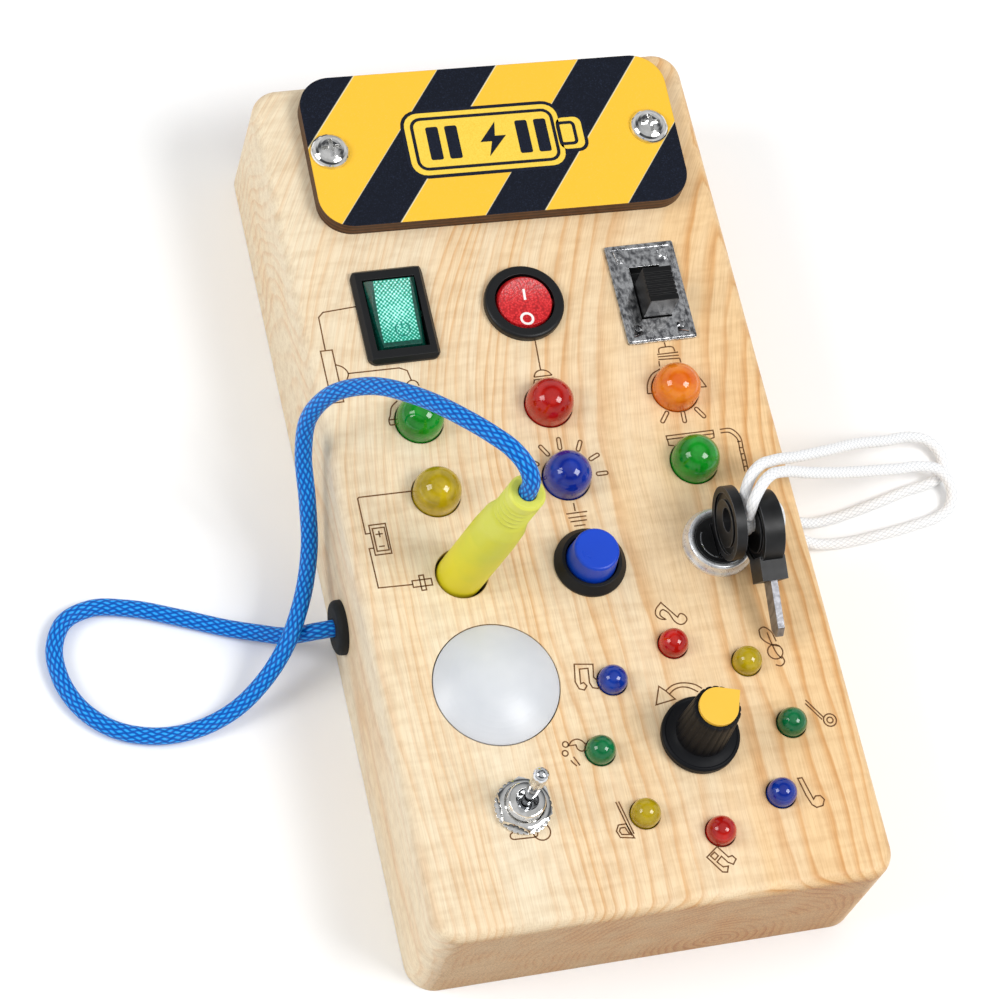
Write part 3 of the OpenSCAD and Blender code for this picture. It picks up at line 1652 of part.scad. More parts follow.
pine_block();
back_panel();
back_screws();
battery_box();
battery_door();
cells();
cell_contacts();
striped_plate();
plate_screws();
control_board();
wiring();
green_rocker_frame();
green_rocker_cap();
red_rocker_frame();
red_rocker_cap();
slide_switch_plate();
slide_switch_case();
slide_switch_knob();
terminals();
push_button_bezel();
push_button_cap();
push_button_spring();
push_button_nut();
lock_body();
lock_core();
lock_nut();
key_blade();
key_head();
hanging_key_blade();
hanging_key_head();
tether_upper();
tether_lower();
tether_knot();
tether_stop();
toggle_case();
toggle_bushing();
toggle_washer();
toggle_nut();
toggle_lever();
knob();
knob_pointer();
rotary_case();
rotary_shaft();
rotary_nut();
dome_lens();
lamp_boards();
big_lamp_red();
big_lamp_orange();
big_lamp_yellow();
big_lamp_blue();
big_lamps_green();
small_lamps_red();
small_lamps_yellow();
small_lamps_green();
small_lamps_blue();
jack_socket();
plug_grip();
plug_pin();
blue_cord();
cord_grommet();
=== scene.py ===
from functools import partial
import math

import bpy
from mathutils import Matrix, Vector


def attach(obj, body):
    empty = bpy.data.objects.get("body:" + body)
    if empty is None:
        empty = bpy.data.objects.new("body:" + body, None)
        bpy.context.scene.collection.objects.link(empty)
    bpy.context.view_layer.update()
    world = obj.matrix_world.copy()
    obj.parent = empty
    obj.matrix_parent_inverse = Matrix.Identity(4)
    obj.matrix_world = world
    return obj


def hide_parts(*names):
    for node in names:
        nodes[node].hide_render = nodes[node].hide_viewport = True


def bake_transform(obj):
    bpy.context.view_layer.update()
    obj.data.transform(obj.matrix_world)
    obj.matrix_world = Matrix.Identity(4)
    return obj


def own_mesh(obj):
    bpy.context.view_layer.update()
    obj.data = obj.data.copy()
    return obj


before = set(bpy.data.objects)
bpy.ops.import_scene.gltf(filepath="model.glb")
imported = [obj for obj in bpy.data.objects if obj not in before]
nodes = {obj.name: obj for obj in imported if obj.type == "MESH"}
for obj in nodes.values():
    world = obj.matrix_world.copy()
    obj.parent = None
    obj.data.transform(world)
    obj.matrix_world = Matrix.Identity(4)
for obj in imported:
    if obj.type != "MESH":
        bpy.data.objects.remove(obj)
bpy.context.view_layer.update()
mm = 0.001


# Colours, shader nodes and materials

# how a Mix node mixes two colours: plainly, or as a tint of the first
blended = {"out": 2, "data_type": "RGBA"}
tinted = {**blended, "blend_type": "MULTIPLY"}


def linearColour(hexValue):
    channels = [int(hexValue[i:i + 2], 16) / 255 for i in (1, 3, 5)]
    linear = [c / 12.92 if c <= 0.04045 else ((c + 0.055) / 1.055) ** 2.4 for c in channels]
    return (*linear, 1.0)


def addNode(tree, kind, inputs=(), out=0, stops=(), sizeMm=0, **settings):
    # one shader node; kind may carry its operation, inputs is a list or a dictionary, sizeMm
    # is the size of a texture's pattern; gives back one output, or all for None
    kind, _, operation = kind.partition(" ")
    node = tree.nodes.new("ShaderNode" + kind)
    if operation:
        node.operation = operation
    for name, value in settings.items():
        setattr(node, name, value)
    if sizeMm:
        node.inputs["Scale"].default_value = 1 / (sizeMm * mm)
    for socket, value in inputs.items() if isinstance(inputs, dict) else enumerate(inputs):
        if isinstance(value, bpy.types.NodeSocket):
            tree.links.new(value, node.inputs[socket])
        else:
            node.inputs[socket].default_value = value
    if stops:
        elements = node.color_ramp.elements
        elements.remove(elements[1])
        elements[0].position, elements[0].color = stops[0][0], linearColour(stops[0][1])
        for place, hexValue in stops[1:]:
            elements.new(place).color = linearColour(hexValue)
    return node.outputs if out is None else node.outputs[out]


def newMaterial(name, sockets):
    # gives back the node tree, what adds a node to it, and the place of a point in the frame
    material = bpy.data.materials.new(name)
    material.use_nodes = True
    tree = material.node_tree
    for socket, value in sockets.items():
        tree.nodes["Principled BSDF"].inputs[socket].default_value = value
    return tree, partial(addNode, tree), addNode(tree, "TexCoord", out="Object")


def feed(tree, colour, height, depthMm, strength=1.0, **others):
    # colour, relief from a height, on the softened normal if there is one, and the others
    relief = {"Height": height, "Distance": depthMm * mm, "Strength": strength}
    if "Normal" in others:
        relief["Normal"] = others["Normal"]
    sockets = {**others, "Base Color": colour, "Normal": addNode(tree, "Bump", relief)}
    for socket, value in sockets.items():
        tree.links.new(value, tree.nodes["Principled BSDF"].inputs[socket])


def rubbedEdges(add, radiusMm):
    # an edge that handling has rounded: its softened normal, and 0 to 1 for how rubbed it is
    rounded = add("Bevel", [radiusMm * mm], samples=8)
    straight = add("NewGeometry", out="Normal")
    facing = add("VectorMath DOT_PRODUCT", [rounded, straight], "Value")
    rubbed = add("MapRange", {"Value": facing, "From Min": 0.99, "From Max": 0.82})
    return rounded, rubbed


def mottled(name, sockets, cloudMm, stops, grainMm, depthMm, strength=1.0):
    # a finish with soft clouds of colour and a fine relief
    tree, add, place = newMaterial(name, sockets)
    cloud = add("TexNoise", [place], sizeMm=cloudMm)
    grain = add("TexNoise", [place], sizeMm=grainMm)
    feed(tree, add("ValToRGB", [cloud], stops=stops), grain, depthMm, strength)


def dress(name, *pieces):
    for piece in pieces:
        shown = nodes[piece] if isinstance(piece, str) else piece
        shown.data.materials.clear()
        shown.data.materials.append(bpy.data.materials[name])


def fit(piece, name, body, slot, *replaced):
    # gives a piece its material, the body it rides on and the nodes it stands for; slot is not
    # used
    dress(name, piece)
    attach(piece, body)
    if replaced:
        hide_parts(*replaced)


# Camera, floor and light

view = {
    "place": (-0.26157, -0.35812, 0.87436),
    "right": (0.958166, -0.216020, 0.187760),
    "forward": (0.259026, 0.375414, -0.889927),
    "focalPixels": 3668.2,
    "imageSide": 999,
    "sensorMm": 36,
}


def makeCamera():
    data = bpy.data.cameras.new("camera")
    data.sensor_width = view["sensorMm"]
    data.lens = view["focalPixels"] / view["imageSide"] * view["sensorMm"]
    data.clip_start = 0.05
    camera = bpy.data.objects.new("camera", data)
    right, forward = Vector(view["right"]), Vector(view["forward"])
    up = right.cross(forward)
    turn = Matrix((right, up, -forward)).transposed().to_4x4()
    camera.matrix_world = Matrix.Translation(view["place"]) @ turn
    bpy.context.scene.collection.objects.link(camera)
    bpy.context.scene.camera = camera


studio = {
    "floorHalf": 6.0,
    "floorDrop": 0.1 * mm,
    "floorColour": "#FFFFFF",
    "centre": (0.0, 0.0, 0.04),
    "distance": 1.5,
    "softboxSide": 0.62,
    "keyFrom": (0.466, -0.319, 0.825),
    "keyPower": 11.4,
    "fillFrom": (-0.772, 0.061, 0.633),
    "fillPower": 7.6,
    "skyStrength": 0.74,
    "backdropGlow": (1.35, 1.35, 1.35, 1),
}


def makeSoftbox(name, direction, power):
    data = bpy.data.lights.new(name, "AREA")
    data.energy = power
    data.size = studio["softboxSide"]
    light = bpy.data.objects.new(name, data)
    light.visible_camera = False
    centre = Vector(studio["centre"])
    light.location = centre + Vector(direction).normalized() * studio["distance"]
    light.rotation_euler = (light.location - centre).to_track_quat("Z", "Y").to_euler()
    bpy.context.scene.collection.objects.link(light)


def makeStudio():
    half, drop = studio["floorHalf"], studio["floorDrop"]
    mesh = bpy.data.meshes.new("floor")
    corners = [(x * half, y * half, -drop) for x, y in ((-1, -1), (1, -1), (1, 1), (-1, 1))]
    mesh.from_pydata(corners, [], [(0, 1, 2, 3)])
    floor = bpy.data.objects.new("floor", mesh)
    bpy.context.scene.collection.objects.link(floor)
    newMaterial("mattBackdropPaper", {
        "Base Color": linearColour(studio["floorColour"]), "Roughness": 0.9})
    dress("mattBackdropPaper", floor)
    makeSoftbox("keyLight", studio["keyFrom"], studio["keyPower"])
    makeSoftbox("fillLight", studio["fillFrom"], studio["fillPower"])
    # an even bright room for matt surfaces; what gloss and metal mirror has dark and light
    # bands, as between the lamps and walls of a studio
    world = bpy.data.worlds.new("studioWorld")
    world.use_nodes = True
    tree = world.node_tree
    add = partial(addNode, tree)
    height = add("SeparateXYZ", [add("TexCoord", out="Generated")], "Z")
    room = add("ValToRGB", [height], stops=[
        (0.0, "#A4A6A9"), (0.35, "#C6C8CA"), (0.9, "#F4F5F6")])
    mirrored = add("ValToRGB", [height], stops=[
        (0.0, "#C0C2C4"), (0.12, "#EEEFF0"), (0.35, "#FFFFFF"), (0.52, "#D8DADC"),
        (0.62, "#6A6C70"), (0.73, "#4A4C50"), (0.84, "#D0D2D4"), (0.97, "#EEEFF0")])
    glossy = add("LightPath", out="Is Glossy Ray")
    seen = add("LightPath", out="Is Camera Ray")
    light = add("Mix", {0: glossy, 6: room, 7: mirrored}, **blended)
    light = add("Mix", {0: seen, 6: light, 7: studio["backdropGlow"]}, **blended)
    tree.links.new(light, tree.nodes["Background"].inputs[0])
    tree.nodes["Background"].inputs[1].default_value = studio["skyStrength"]
    bpy.context.scene.world = world
    bpy.context.scene.view_settings.view_transform = "Standard"


makeCamera()
makeStudio()
print("camera, floor and light made")


# Shapes, all in millimetres

def addMesh(name, points, faces, sharpAngle=35):
    mesh = bpy.data.meshes.new(name)
    mesh.from_pydata([Vector(p) * mm for p in points], [], faces)
    mesh.validate()
    mesh.shade_smooth()
    mesh.set_sharp_from_angle(angle=math.radians(sharpAngle))
    piece = bpy.data.objects.new(name, mesh)
    bpy.context.scene.collection.objects.link(piece)
    return piece


def smoothRoute(route, step=0.5):
    # one smooth curve through all points of the route, cut into short steps
    route = [Vector(p) for p in route]
    spans = [(b - a).length for a, b in zip(route, route[1:])]
    slopes = [(route[1] - route[0]) / spans[0]]
    for i in range(1, len(route) - 1):
        before, after = spans[i - 1], spans[i]
        slopes.append(((route[i] - route[i - 1]) / before * after
                       + (route[i + 1] - route[i]) / after * before) / (before + after))
    slopes.append((route[-1] - route[-2]) / spans[-1])
    curve = []
    for i, span in enumerate(spans):
        count = max(2, round(span / step))
        for k in range(count):
            t = k / count
            curve.append(route[i] * (2 * t ** 3 - 3 * t ** 2 + 1)
                         + slopes[i] * span * (t ** 3 - 2 * t ** 2 + t)
                         + route[i + 1] * (3 * t ** 2 - 2 * t ** 3)
                         + slopes[i + 1] * span * (t ** 3 - t ** 2))
    return curve + [route[-1]]


def curved(*points):
    return [(p.x, p.y) for p in smoothRoute([(x, y, 0) for x, y in points], 0.4)]


def arc(x, y, radius, startDegrees, endDegrees, count=10):
    angles = [math.radians(startDegrees + (endDegrees - startDegrees) * i / count)
              for i in range(count + 1)]
    return [(x + radius * math.cos(a), y + radius * math.sin(a)) for a in angles]


def circle(x, y, radius, count=20):
    return arc(x, y, radius, 0, 360 - 360 / count, count - 1)


def box(x0, y0, x1, y1):
    return [(x0, y0), (x1, y0), (x1, y1), (x0, y1)]


def capsule(first, second, radius):
    turn = math.degrees(math.atan2(second[1] - first[1], second[0] - first[0]))
    return (arc(*second, radius, turn - 90, turn + 90, 6)
            + arc(*first, radius, turn + 90, turn + 270, 6))


def roundedRectangle(x0, y0, x1, y1, radius):
    return (arc(x1 - radius, y1 - radius, radius, 0, 90, 5)
            + arc(x0 + radius, y1 - radius, radius, 90, 180, 5)
            + arc(x0 + radius, y0 + radius, radius, 180, 270, 5)
            + arc(x1 - radius, y0 + radius, radius, 270, 360, 5))


def band(line, width, closed):
    # flat band along a line: the points of its two edges and its faces
    line = [Vector(p) for p in line]
    count = len(line)
    edges = []
    for i, place in enumerate(line):
        before = line[i - 1] if i or closed else place
        after = line[(i + 1) % count] if i < count - 1 or closed else place
        first, second = place - before, after - place
        first = first.normalized() if first.length else second.normalized()
        second = second.normalized() if second.length else first
        ahead = (first + second).normalized() if (first + second).length > 0.1 else first
        side = Vector((-ahead.y, ahead.x)) * width / 2 / max(0.5, ahead.dot(second))
        edges += [place + side, place - side]
    spans = count if closed else count - 1
    return edges, [(2 * i, 2 * i + 1, (2 * i + 3) % (2 * count), (2 * i + 2) % (2 * count))
                   for i in range(spans)]


def addMarks(name, onSurface, width, lines=(), loops=(), solids=(), thick=0.08):
    # thin marks laid on a surface: open lines, closed lines and filled outlines
    points, faces = [], []
    shapes = [band(line, width, False) for line in lines]
    shapes += [band(loop, width, True) for loop in loops]
    shapes += [(solid, [tuple(range(len(solid)))]) for solid in solids]
    for edges, more in shapes:
        faces += [tuple(len(points) + i for i in face) for face in more]
        points += [onSurface(x, y) for x, y in edges]
    piece = addMesh(name, points, faces)
    piece.data.shade_flat()
    piece.modifiers.new("thickness", "SOLIDIFY").thickness = thick * mm
    return piece


def turned(name, centres, profile, sides=96, closed=False, shape=None):
    # profile of radius and height turned round upright axes; shape may change a point
    points, faces, rings = [], [], len(profile)
    for cx, cy, cz in centres:
        foot = len(points)
        for radius, height in profile:
            for k in range(sides):
                angle = 2 * math.pi * k / sides
                r, z = shape(angle, radius, height) if shape else (radius, height)
                points.append((cx + r * math.cos(angle), cy + r * math.sin(angle), cz + z))
        for i in range(rings if closed else rings - 1):
            a, b = foot + i * sides, foot + (i + 1) % rings * sides
            for k in range(sides):
                after = (k + 1) % sides
                faces.append((a + k, a + after, b + after, b + k))
        if not closed:
            faces += [tuple(range(foot + sides - 1, foot - 1, -1)),
                      tuple(range(len(points) - sides, len(points)))]
    return addMesh(name, points, faces)


def sweepTube(name, path, radius, sides=20):
    # tube along a path, with a map that has turns round it and metres along it
    points, faces, along, length = [], [], [], 0.0
    side = Vector((0, 0, 1))
    for i, place in enumerate(path):
        ahead = (path[min(i + 1, len(path) - 1)] - path[max(i - 1, 0)]).normalized()
        side = (side - ahead * side.dot(ahead)).normalized()
        other = ahead.cross(side)
        length += (place - path[i - 1]).length if i else 0.0
        along.append(length * mm)
        for k in range(sides):
            turn = 2 * math.pi * k / sides
            points.append(place + radius * (math.cos(turn) * side + math.sin(turn) * other))
    for i in range(len(path) - 1):
        for k in range(sides):
            a, b = i * sides + k, i * sides + (k + 1) % sides
            faces.append((a, b, b + sides, a + sides))
    last = (len(path) - 1) * sides
    faces += [tuple(range(sides - 1, -1, -1)), tuple(range(last, last + sides))]
    tube = addMesh(name, points, faces, sharpAngle=60)
    uv = tube.data.uv_layers.new(name="braidMap").data
    for face in tube.data.polygons[:(len(path) - 1) * sides]:
        column = face.index % sides
        for loop in face.loop_indices:
            ring, corner = divmod(tube.data.loops[loop].vertex_index, sides)
            turns = 1.0 if corner == 0 and column == sides - 1 else corner / sides
            uv[loop].uv = (turns, along[ring])
    return tube


# Cords: the same routes as in the part, ground part from the hole in the side, upper part
# from the top of the plug or the hanging key's hole

blueCord = {
    "diameter": 4.5,
    "sideHole": (-60, -25, 0),
    "start": (0, 0, 14),
    "ground": [
        (-2.5, 0, 14), (-6.4, 0.1, 13.4), (-10.4, 0.8, 11), (-14.6, 2.5, 7.2), (-19.4, 5.3, 4),
        (-26.4, 8.2, 2.4), (-39, 13.2, 2.3), (-52, 17.7, 2.3), (-61.4, 18.9, 2.3),
        (-68.6, 16.2, 2.3), (-72.2, 9.8, 2.3), (-72.2, 1.2, 2.3), (-68.6, -7.6, 2.3),
        (-61.6, -14.4, 2.3), (-51.8, -18, 2.3), (-40.4, -17.9, 2.3), (-29.8, -14.6, 4.1),
        (-21.2, -9, 8.8), (-14.6, -1.7, 14.2), (-10.8, 5.2, 15.8), (-7.6, 12.6, 16.4),
        (-5.4, 20.5, 19), (-5.4, 29.6, 28.6)],
    "plugTop": (-26.41, -26.89, 91.55),
    "over": [
        (-40, 40.1, -51.3), (-39.4, 44.5, -40.5), (-35.6, 45, -29.1), (-28.5, 40.8, -17.1),
        (-20.4, 30.7, -4.3), (-12.6, 18.4, 6.2), (-8.2, 11.9, 9.9), (-4.6, 7.2, 11),
        (-1.8, 3.5, 9.5), (-0.1, 0.9, 5.9), (0, 0, 0)],
    "intoPlug": 5,
    "bendStart": (-66, 13, 40),
    "bendEnd": (-37.2, -13, 96.7),
}
tether = {
    "diameter": 3,
    "sideHole": (60, -13, 0),
    "keyHole": (43.4, -26.61, 54.08),
    "upperGround": [
        (0, 2.1, 14), (5, 2.1, 12.7), (10.2, 2.8, 8.2), (15.6, 3.7, 3.8), (22.6, 4.9, 1.8),
        (35, 7.5, 1.6), (46, 10.3, 1.6), (53.4, 11.8, 1.6), (56.8, 13.5, 1.6),
        (58.6, 17.2, 1.8), (57.7, 21.1, 2.7), (54.7, 23.5, 4.2), (49.8, 23.7, 7),
        (38.6, 20.4, 14.7), (26.4, 16.4, 24.6), (12.6, 10.2, 37.1)],
    "upperOver": [
        (16.3, 18.6, -6.4), (5.9, 14.4, 3), (0.7, 11.8, 6.8), (-2.6, 8.8, 7.7),
        (-4.4, 5.6, 6.2), (-4.6, 2.6, 3.1)],
    "lowerGround": [
        (0, -2.1, 14), (5, -2.2, 12.7), (10.2, -2.4, 8.2), (15.6, -2.5, 3.8),
        (22.6, -2.4, 1.8), (35, -1.5, 1.6), (46, 0.1, 1.6), (53.2, 1.7, 1.6),
        (56.6, 3.7, 1.8), (58.2, 7.2, 2.7), (57.4, 10.9, 4.4), (54.5, 13.4, 6.6),
        (50, 13.6, 9.3), (39, 11.2, 16), (26, 7.8, 25.4), (13.2, 3.6, 37)],
    "lowerOver": [
        (17.5, 13.6, -5.8), (7.3, 10.5, 4.2), (2.5, 8.2, 8.6), (-1.1, 5.2, 10.6),
        (-3.9, 1.8, 9.8), (-4.6, -0.6, 4.3)],
    "splitX": 50,
    "bendStart": (62, -12, 50),
    "bendEnd": (50, -14, 58),
    "endBendStart": (50, -17, 60),
    "endBendEnd": (42, -20, 62),
}
plugLean = Vector((0.1248, -0.0382, 0.9914))
braid = {
    "powers": (0.4, 1.4),  # a yarn's roundness where it lies on top, and where it dives
    "fibreMm": 0.25,
    "fibreShare": 0.35,
}


def placedRoute(ground, sideHole, over, top):
    side, end = Vector(sideHole), Vector(top)
    return [Vector(p) + side for p in ground] + [Vector(p) + end for p in over]


def braided(name, around, pitchMm, colours, roughness, reliefMm):
    # plaited sheath: yarns wound both ways, over and under each other, each a short ridge; its
    # colour follows the ridges' height, a painted highlight on the crowns and painted shade in the
    # dips
    tree, add, place = newMaterial(name, {
        "Roughness": roughness, "IOR": 1.5, "Specular IOR Level": 0.2, "Sheen Weight": 0.02})
    sheath = add("SeparateXYZ", [add("UVMap")], None)
    turns = add("Math MULTIPLY", [sheath["X"], around])
    steps = add("Math DIVIDE", [sheath["Y"], pitchMm * mm])
    cells, crowns = [], []
    for way in ("ADD", "SUBTRACT"):
        wound = add("Math " + way, [turns, steps])
        cells.append(add("Math FLOOR", [wound]))
        across = add("Math FRACT", [wound])
        half = add("Math MULTIPLY", [across, math.pi])
        wave = add("Math SINE", [half])
        crowns.append([add("Math POWER", [wave, p]) for p in braid["powers"]])
    cell = add("Math ADD", cells)
    onTop = add("Math PINGPONG", [cell, 1.0])
    yarns = [add("Math MULTIPLY", [crowns[0][i], crowns[1][1 - i]]) for i in (0, 1)]
    height = add("Mix", {0: onTop, 2: yarns[0], 3: yarns[1]})
    fibres = add("TexNoise", [place], sizeMm=braid["fibreMm"])
    shade = add("Math MULTIPLY_ADD", [fibres, braid["fibreShare"], height])
    # colour from the yarns' height: painted highlight on the crowns, painted shade where they dive
    feed(tree, add("ValToRGB", [shade], stops=colours), height, reliefMm)


def makeBlueCord():
    # plaited polypropylene, each ridge painted as a bright line (a painted highlight) and darker
    # in the dips (painted shade); 10 yarns each way
    braided("plaitedPolypropylene", 10, 3.2, [
        (0.15, "#0349A0"), (0.5, "#0460C4"), (0.85, "#0A7CDC"), (1.2, "#2EACFA")], 0.36, 0.16)
    over = blueCord["over"] + [-plugLean * blueCord["intoPlug"]]
    path = smoothRoute(placedRoute([blueCord["start"]] + blueCord["ground"],
                                   blueCord["sideHole"], over, blueCord["plugTop"]))
    cord = sweepTube("blueCord", path, blueCord["diameter"] / 2)
    dress("plaitedPolypropylene", cord)
    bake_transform(cord)
    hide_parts("blue_cord")


def makeTether():
    # plaited nylon, soft white, painted grey in the dips between the yarns as painted shade; 8
    # yarns each way
    braided("plaitedNylon", 8, 2.2, [
        (0.1, "#DCDDDF"), (0.5, "#F4F4F4"), (0.9, "#FFFFFF")], 0.5, 0.05)
    for strand in ("upper", "lower"):
        path = smoothRoute(placedRoute(tether[strand + "Ground"], tether["sideHole"],
                                       tether[strand + "Over"], tether["keyHole"]))
        last = max(i for i, p in enumerate(path) if p.x >= tether["splitX"])
        cord = sweepTube(strand + "Tether", path[:last + 1], tether["diameter"] / 2, 16)
        end = sweepTube(strand + "TetherEnd", path[last:], tether["diameter"] / 2, 16)
        dress("plaitedNylon", cord, end)
        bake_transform(cord)
        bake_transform(end)
        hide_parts("tether_" + strand)
    # the knots are tied from the same cord; their nodes carry no map, so the twill is noise
    mottled("tiedNylonKnots", {"Roughness": 0.55, "IOR": 1.5, "Sheen Weight": 0.25},
            0.6, [(0.35, "#D6D7D8"), (0.6, "#FAFAFA")], 0.6, 0.1)
    dress("tiedNylonKnots", "tether_knot", "tether_stop")


makeBlueCord()
makeTether()
print("cords made")


# Pine block and back panel

pine = {
    "ringMm": 2.3,         # from one dark ring to the next
    "pithX": 23,           # middle of the tree, seen in the sawn ends
    "pithZ": 6,
    "bendFromY": -10,      # above this line the rings lean more and more towards +X
    "bend": 3.0,
    "driftMm": 22,         # how far the rings wander, and how far they waver
    "waverMm": 2.2,
    # size in mm and stretch; real fibres are 0.04 mm wide, drawn coarser to show
    "patterns": {"drift": (42, (1, 0.2, 1)), "waver": (8, (1, 0.25, 1)),
                 "bands": (11, (1, 0.06, 1)), "fibre": (0.35, (1, 0.035, 1)),
                 "silk": (2.4, (0.3, 1, 1))},
    "pale": "#F3E2C3",
    "warm": "#F3CF9C",
    "late": "#DA9F5C",
    "warmthPerMetre": 4.5,
    "lateShare": {"From Min": -0.045, "From Max": 0.02, "To Min": 0.36, "To Max": 0.9},
    "poreMm": 0.5,
    "edgeMm": 0.5,
}


def sawnPine(name, tone):
    # planed and sanded pine: pale early wood, orange late wood, a dull silky surface
    tree, add, place = newMaterial(name, {"Roughness": 0.5, "IOR": 1.45})
    x, y, z = add("SeparateXYZ", [place], None).values()
    above = add("Math SUBTRACT", [y, pine["bendFromY"] * mm])
    above = add("Math MAXIMUM", [above, 0.0])
    above = add("Math POWER", [above, 2.0])
    across = add("Math MULTIPLY_ADD", [above, -pine["bend"], x])
    grainPlace = add("CombineXYZ", [across, y, z])
    grown = {}
    for part, (sizeMm, stretch) in pine["patterns"].items():
        longwise = add("Mapping", {"Vector": grainPlace, "Scale": stretch})
        grown[part] = add("TexNoise", [longwise], sizeMm=sizeMm)
    across = add("Math MULTIPLY_ADD", [grown["drift"], pine["driftMm"] * mm, across])
    pith = ((pine["pithX"] + pine["driftMm"] / 2) * mm, 0, pine["pithZ"] * mm)
    fromPith = add("CombineXYZ", {0: across, 2: z})
    fromPith = add("VectorMath SUBTRACT", [fromPith, pith])
    radius = add("VectorMath LENGTH", [fromPith], "Value")
    radius = add("Math MULTIPLY_ADD", [grown["waver"], pine["waverMm"] * mm, radius])
    ring = add("Math DIVIDE", [radius, pine["ringMm"] * mm])
    ring = add("Math FRACT", [ring])
    late = add("ValToRGB", [ring], stops=[
        (0.0, "#FFFFFF"), (0.1, "#303030"), (0.3, "#000000"), (0.6, "#303030"),
        (0.96, "#FFFFFF")])
    strength = add("ValToRGB", [grown["bands"]], stops=[(0.35, "#4A4A4A"), (0.65, "#FFFFFF")])
    late = add("Mix", {0: 1.0, 6: late, 7: strength}, **tinted)
    # the wood is warmer towards +X, and streaked
    warmth = add("Math MULTIPLY_ADD", [x, pine["warmthPerMetre"], grown["bands"]])
    wood = add("ValToRGB", [warmth], stops=[(0.25, pine["pale"]), (0.8, pine["warm"])])
    share = add("MapRange", {"Value": x, **pine["lateShare"]})
    amount = add("Math MULTIPLY", [late, share])
    wood = add("Mix", {0: amount, 6: wood, 7: linearColour(pine["late"])}, **blended)
    for part, dark, share in (("fibre", "#DCD0C4", 0.4), ("silk", "#EDE6DE", 0.6)):
        streaks = add("ValToRGB", [grown[part]], stops=[(0.32, dark), (0.6, "#FFFFFF")])
        wood = add("Mix", {0: share, 6: wood, 7: streaks}, **tinted)
    # sawn ends are darker wood, and are painted darker still as painted shade on the end faces;
    # rubbed edges are a little burnished
    normalY = add("SeparateXYZ", [add("TexCoord", out="Normal")], "Y")
    endGrainAndShade = add("Math ABSOLUTE", [normalY])
    endGrainAndShade = add("Math POWER", [endGrainAndShade, 6.0])
    pores = add("TexNoise", [place], sizeMm=pine["poreMm"])
    sawn = add("ValToRGB", [pores], stops=[(0.3, "#A08360"), (0.6, "#D0B38C")])
    sawn = add("Mix", {0: 0.85, 6: wood, 7: sawn}, **tinted)
    wood = add("Mix", {0: endGrainAndShade, 6: wood, 7: sawn}, **blended)
    wood = add("Mix", {0: 1.0, 6: wood, 7: linearColour(tone)}, **tinted)
    rounded, rubbed = rubbedEdges(add, pine["edgeMm"])
    dull = add("MapRange", {"Value": rubbed, "To Min": 0.52, "To Max": 0.4})
    feed(tree, wood, grown["fibre"], 0.04, 0.5, Normal=rounded, Roughness=dull)


for finish, tone, node in (("sandedPine", "#FFFFFF", "pine_block"),
                           ("planedPineBack", "#F4EADB", "back_panel")):
    sawnPine(finish, tone)
    dress(finish, node)
print("block made")


# Plastics and metals of the bought parts: colour, colour where rubbed (on the key plastic a
# painted highlight), index, roughness, size and depth of the mould texture in mm, and the nodes
# that have the finish

plastics = {
    # glass-filled nylon: deep black, satin, with a fine spark-eroded texture
    "mouldedBlackNylon": ["#131416", "#2C2D30", 1.53, 0.4, 0.5, 0.02, [
        "green_rocker_frame", "red_rocker_frame", "push_button_nut", "slide_switch_case"]],
    # the same, ground matt
    "mattBlackNylon": ["#0E0F11", "#1E1F22", 1.53, 0.5, 0.4, 0.03, ["push_button_bezel"]],
    # acetal: black with a soft shine
    "mouldedBlackAcetal": ["#0B0B0C", "#1A1B1C", 1.48, 0.36, 0.7, 0.015, [
        "slide_switch_knob"]],
    # ABS of the key heads and the lock's core: black, with a pale edge colour that is a painted
    # highlight along the rims
    "mouldedKeyAbs": ["#050506", "#8A8C90", 1.54, 0.42, 0.5, 0.02, [
        "key_head", "hanging_key_head", "lock_core"]],
    # polystyrene: bright and even
    "mouldedBluePolystyrene": ["#0C46CE", "#3468E4", 1.59, 0.3, 0.8, 0.01,
                               ["push_button_cap"]],
    "mouldedYellowPolystyrene": ["#F5BF3C", "#FFDB72", 1.59, 0.42, 0.5, 0.015,
                                 ["knob_pointer"]],
    # rubber: black and dull
    "mouldedBlackRubber": ["#151718", "#2A2C2E", 1.52, 0.75, 0.4, 0.03, ["cord_grommet"]],
    # pressed melamine and phenolic of switch bodies inside
    "pressedBlueMelamine": ["#2F55B0", "#4A6FC4", 1.6, 0.4, 0.6, 0.02, ["toggle_case"]],
    "pressedGreenPhenolic": ["#2F5E40", "#447B57", 1.6, 0.4, 0.6, 0.02, ["rotary_case"]],
    "mouldedJackNylon": ["#26282C", "#3C3E42", 1.53, 0.45, 0.5, 0.02, ["jack_socket"]],
    # ABS: dark grey battery box with a leather-like grain
    "mouldedGreyAbs": ["#46484B", "#606265", 1.54, 0.5, 0.8, 0.05, [
        "battery_box", "battery_door"]],
    # shrunk PVC: glossy film on the cells, and the wires' covers
    "shrunkPvcSleeve": ["#2E7D4F", "#4C9A6B", 1.53, 0.25, 2.0, 0.02, ["cells"]],
    "extrudedPvcCover": ["#A8231D", "#C4453C", 1.53, 0.42, 1.0, 0.01, ["wiring"]],
    # glass-fibre board under solder mask
    "greenSolderMask": ["#1C5A32", "#2F7A4A", 1.55, 0.35, 0.5, 0.02, ["control_board"]],
    "whiteSolderMask": ["#E9E9E4", "#F6F6F2", 1.55, 0.4, 0.5, 0.02, ["lamp_boards"]],
}

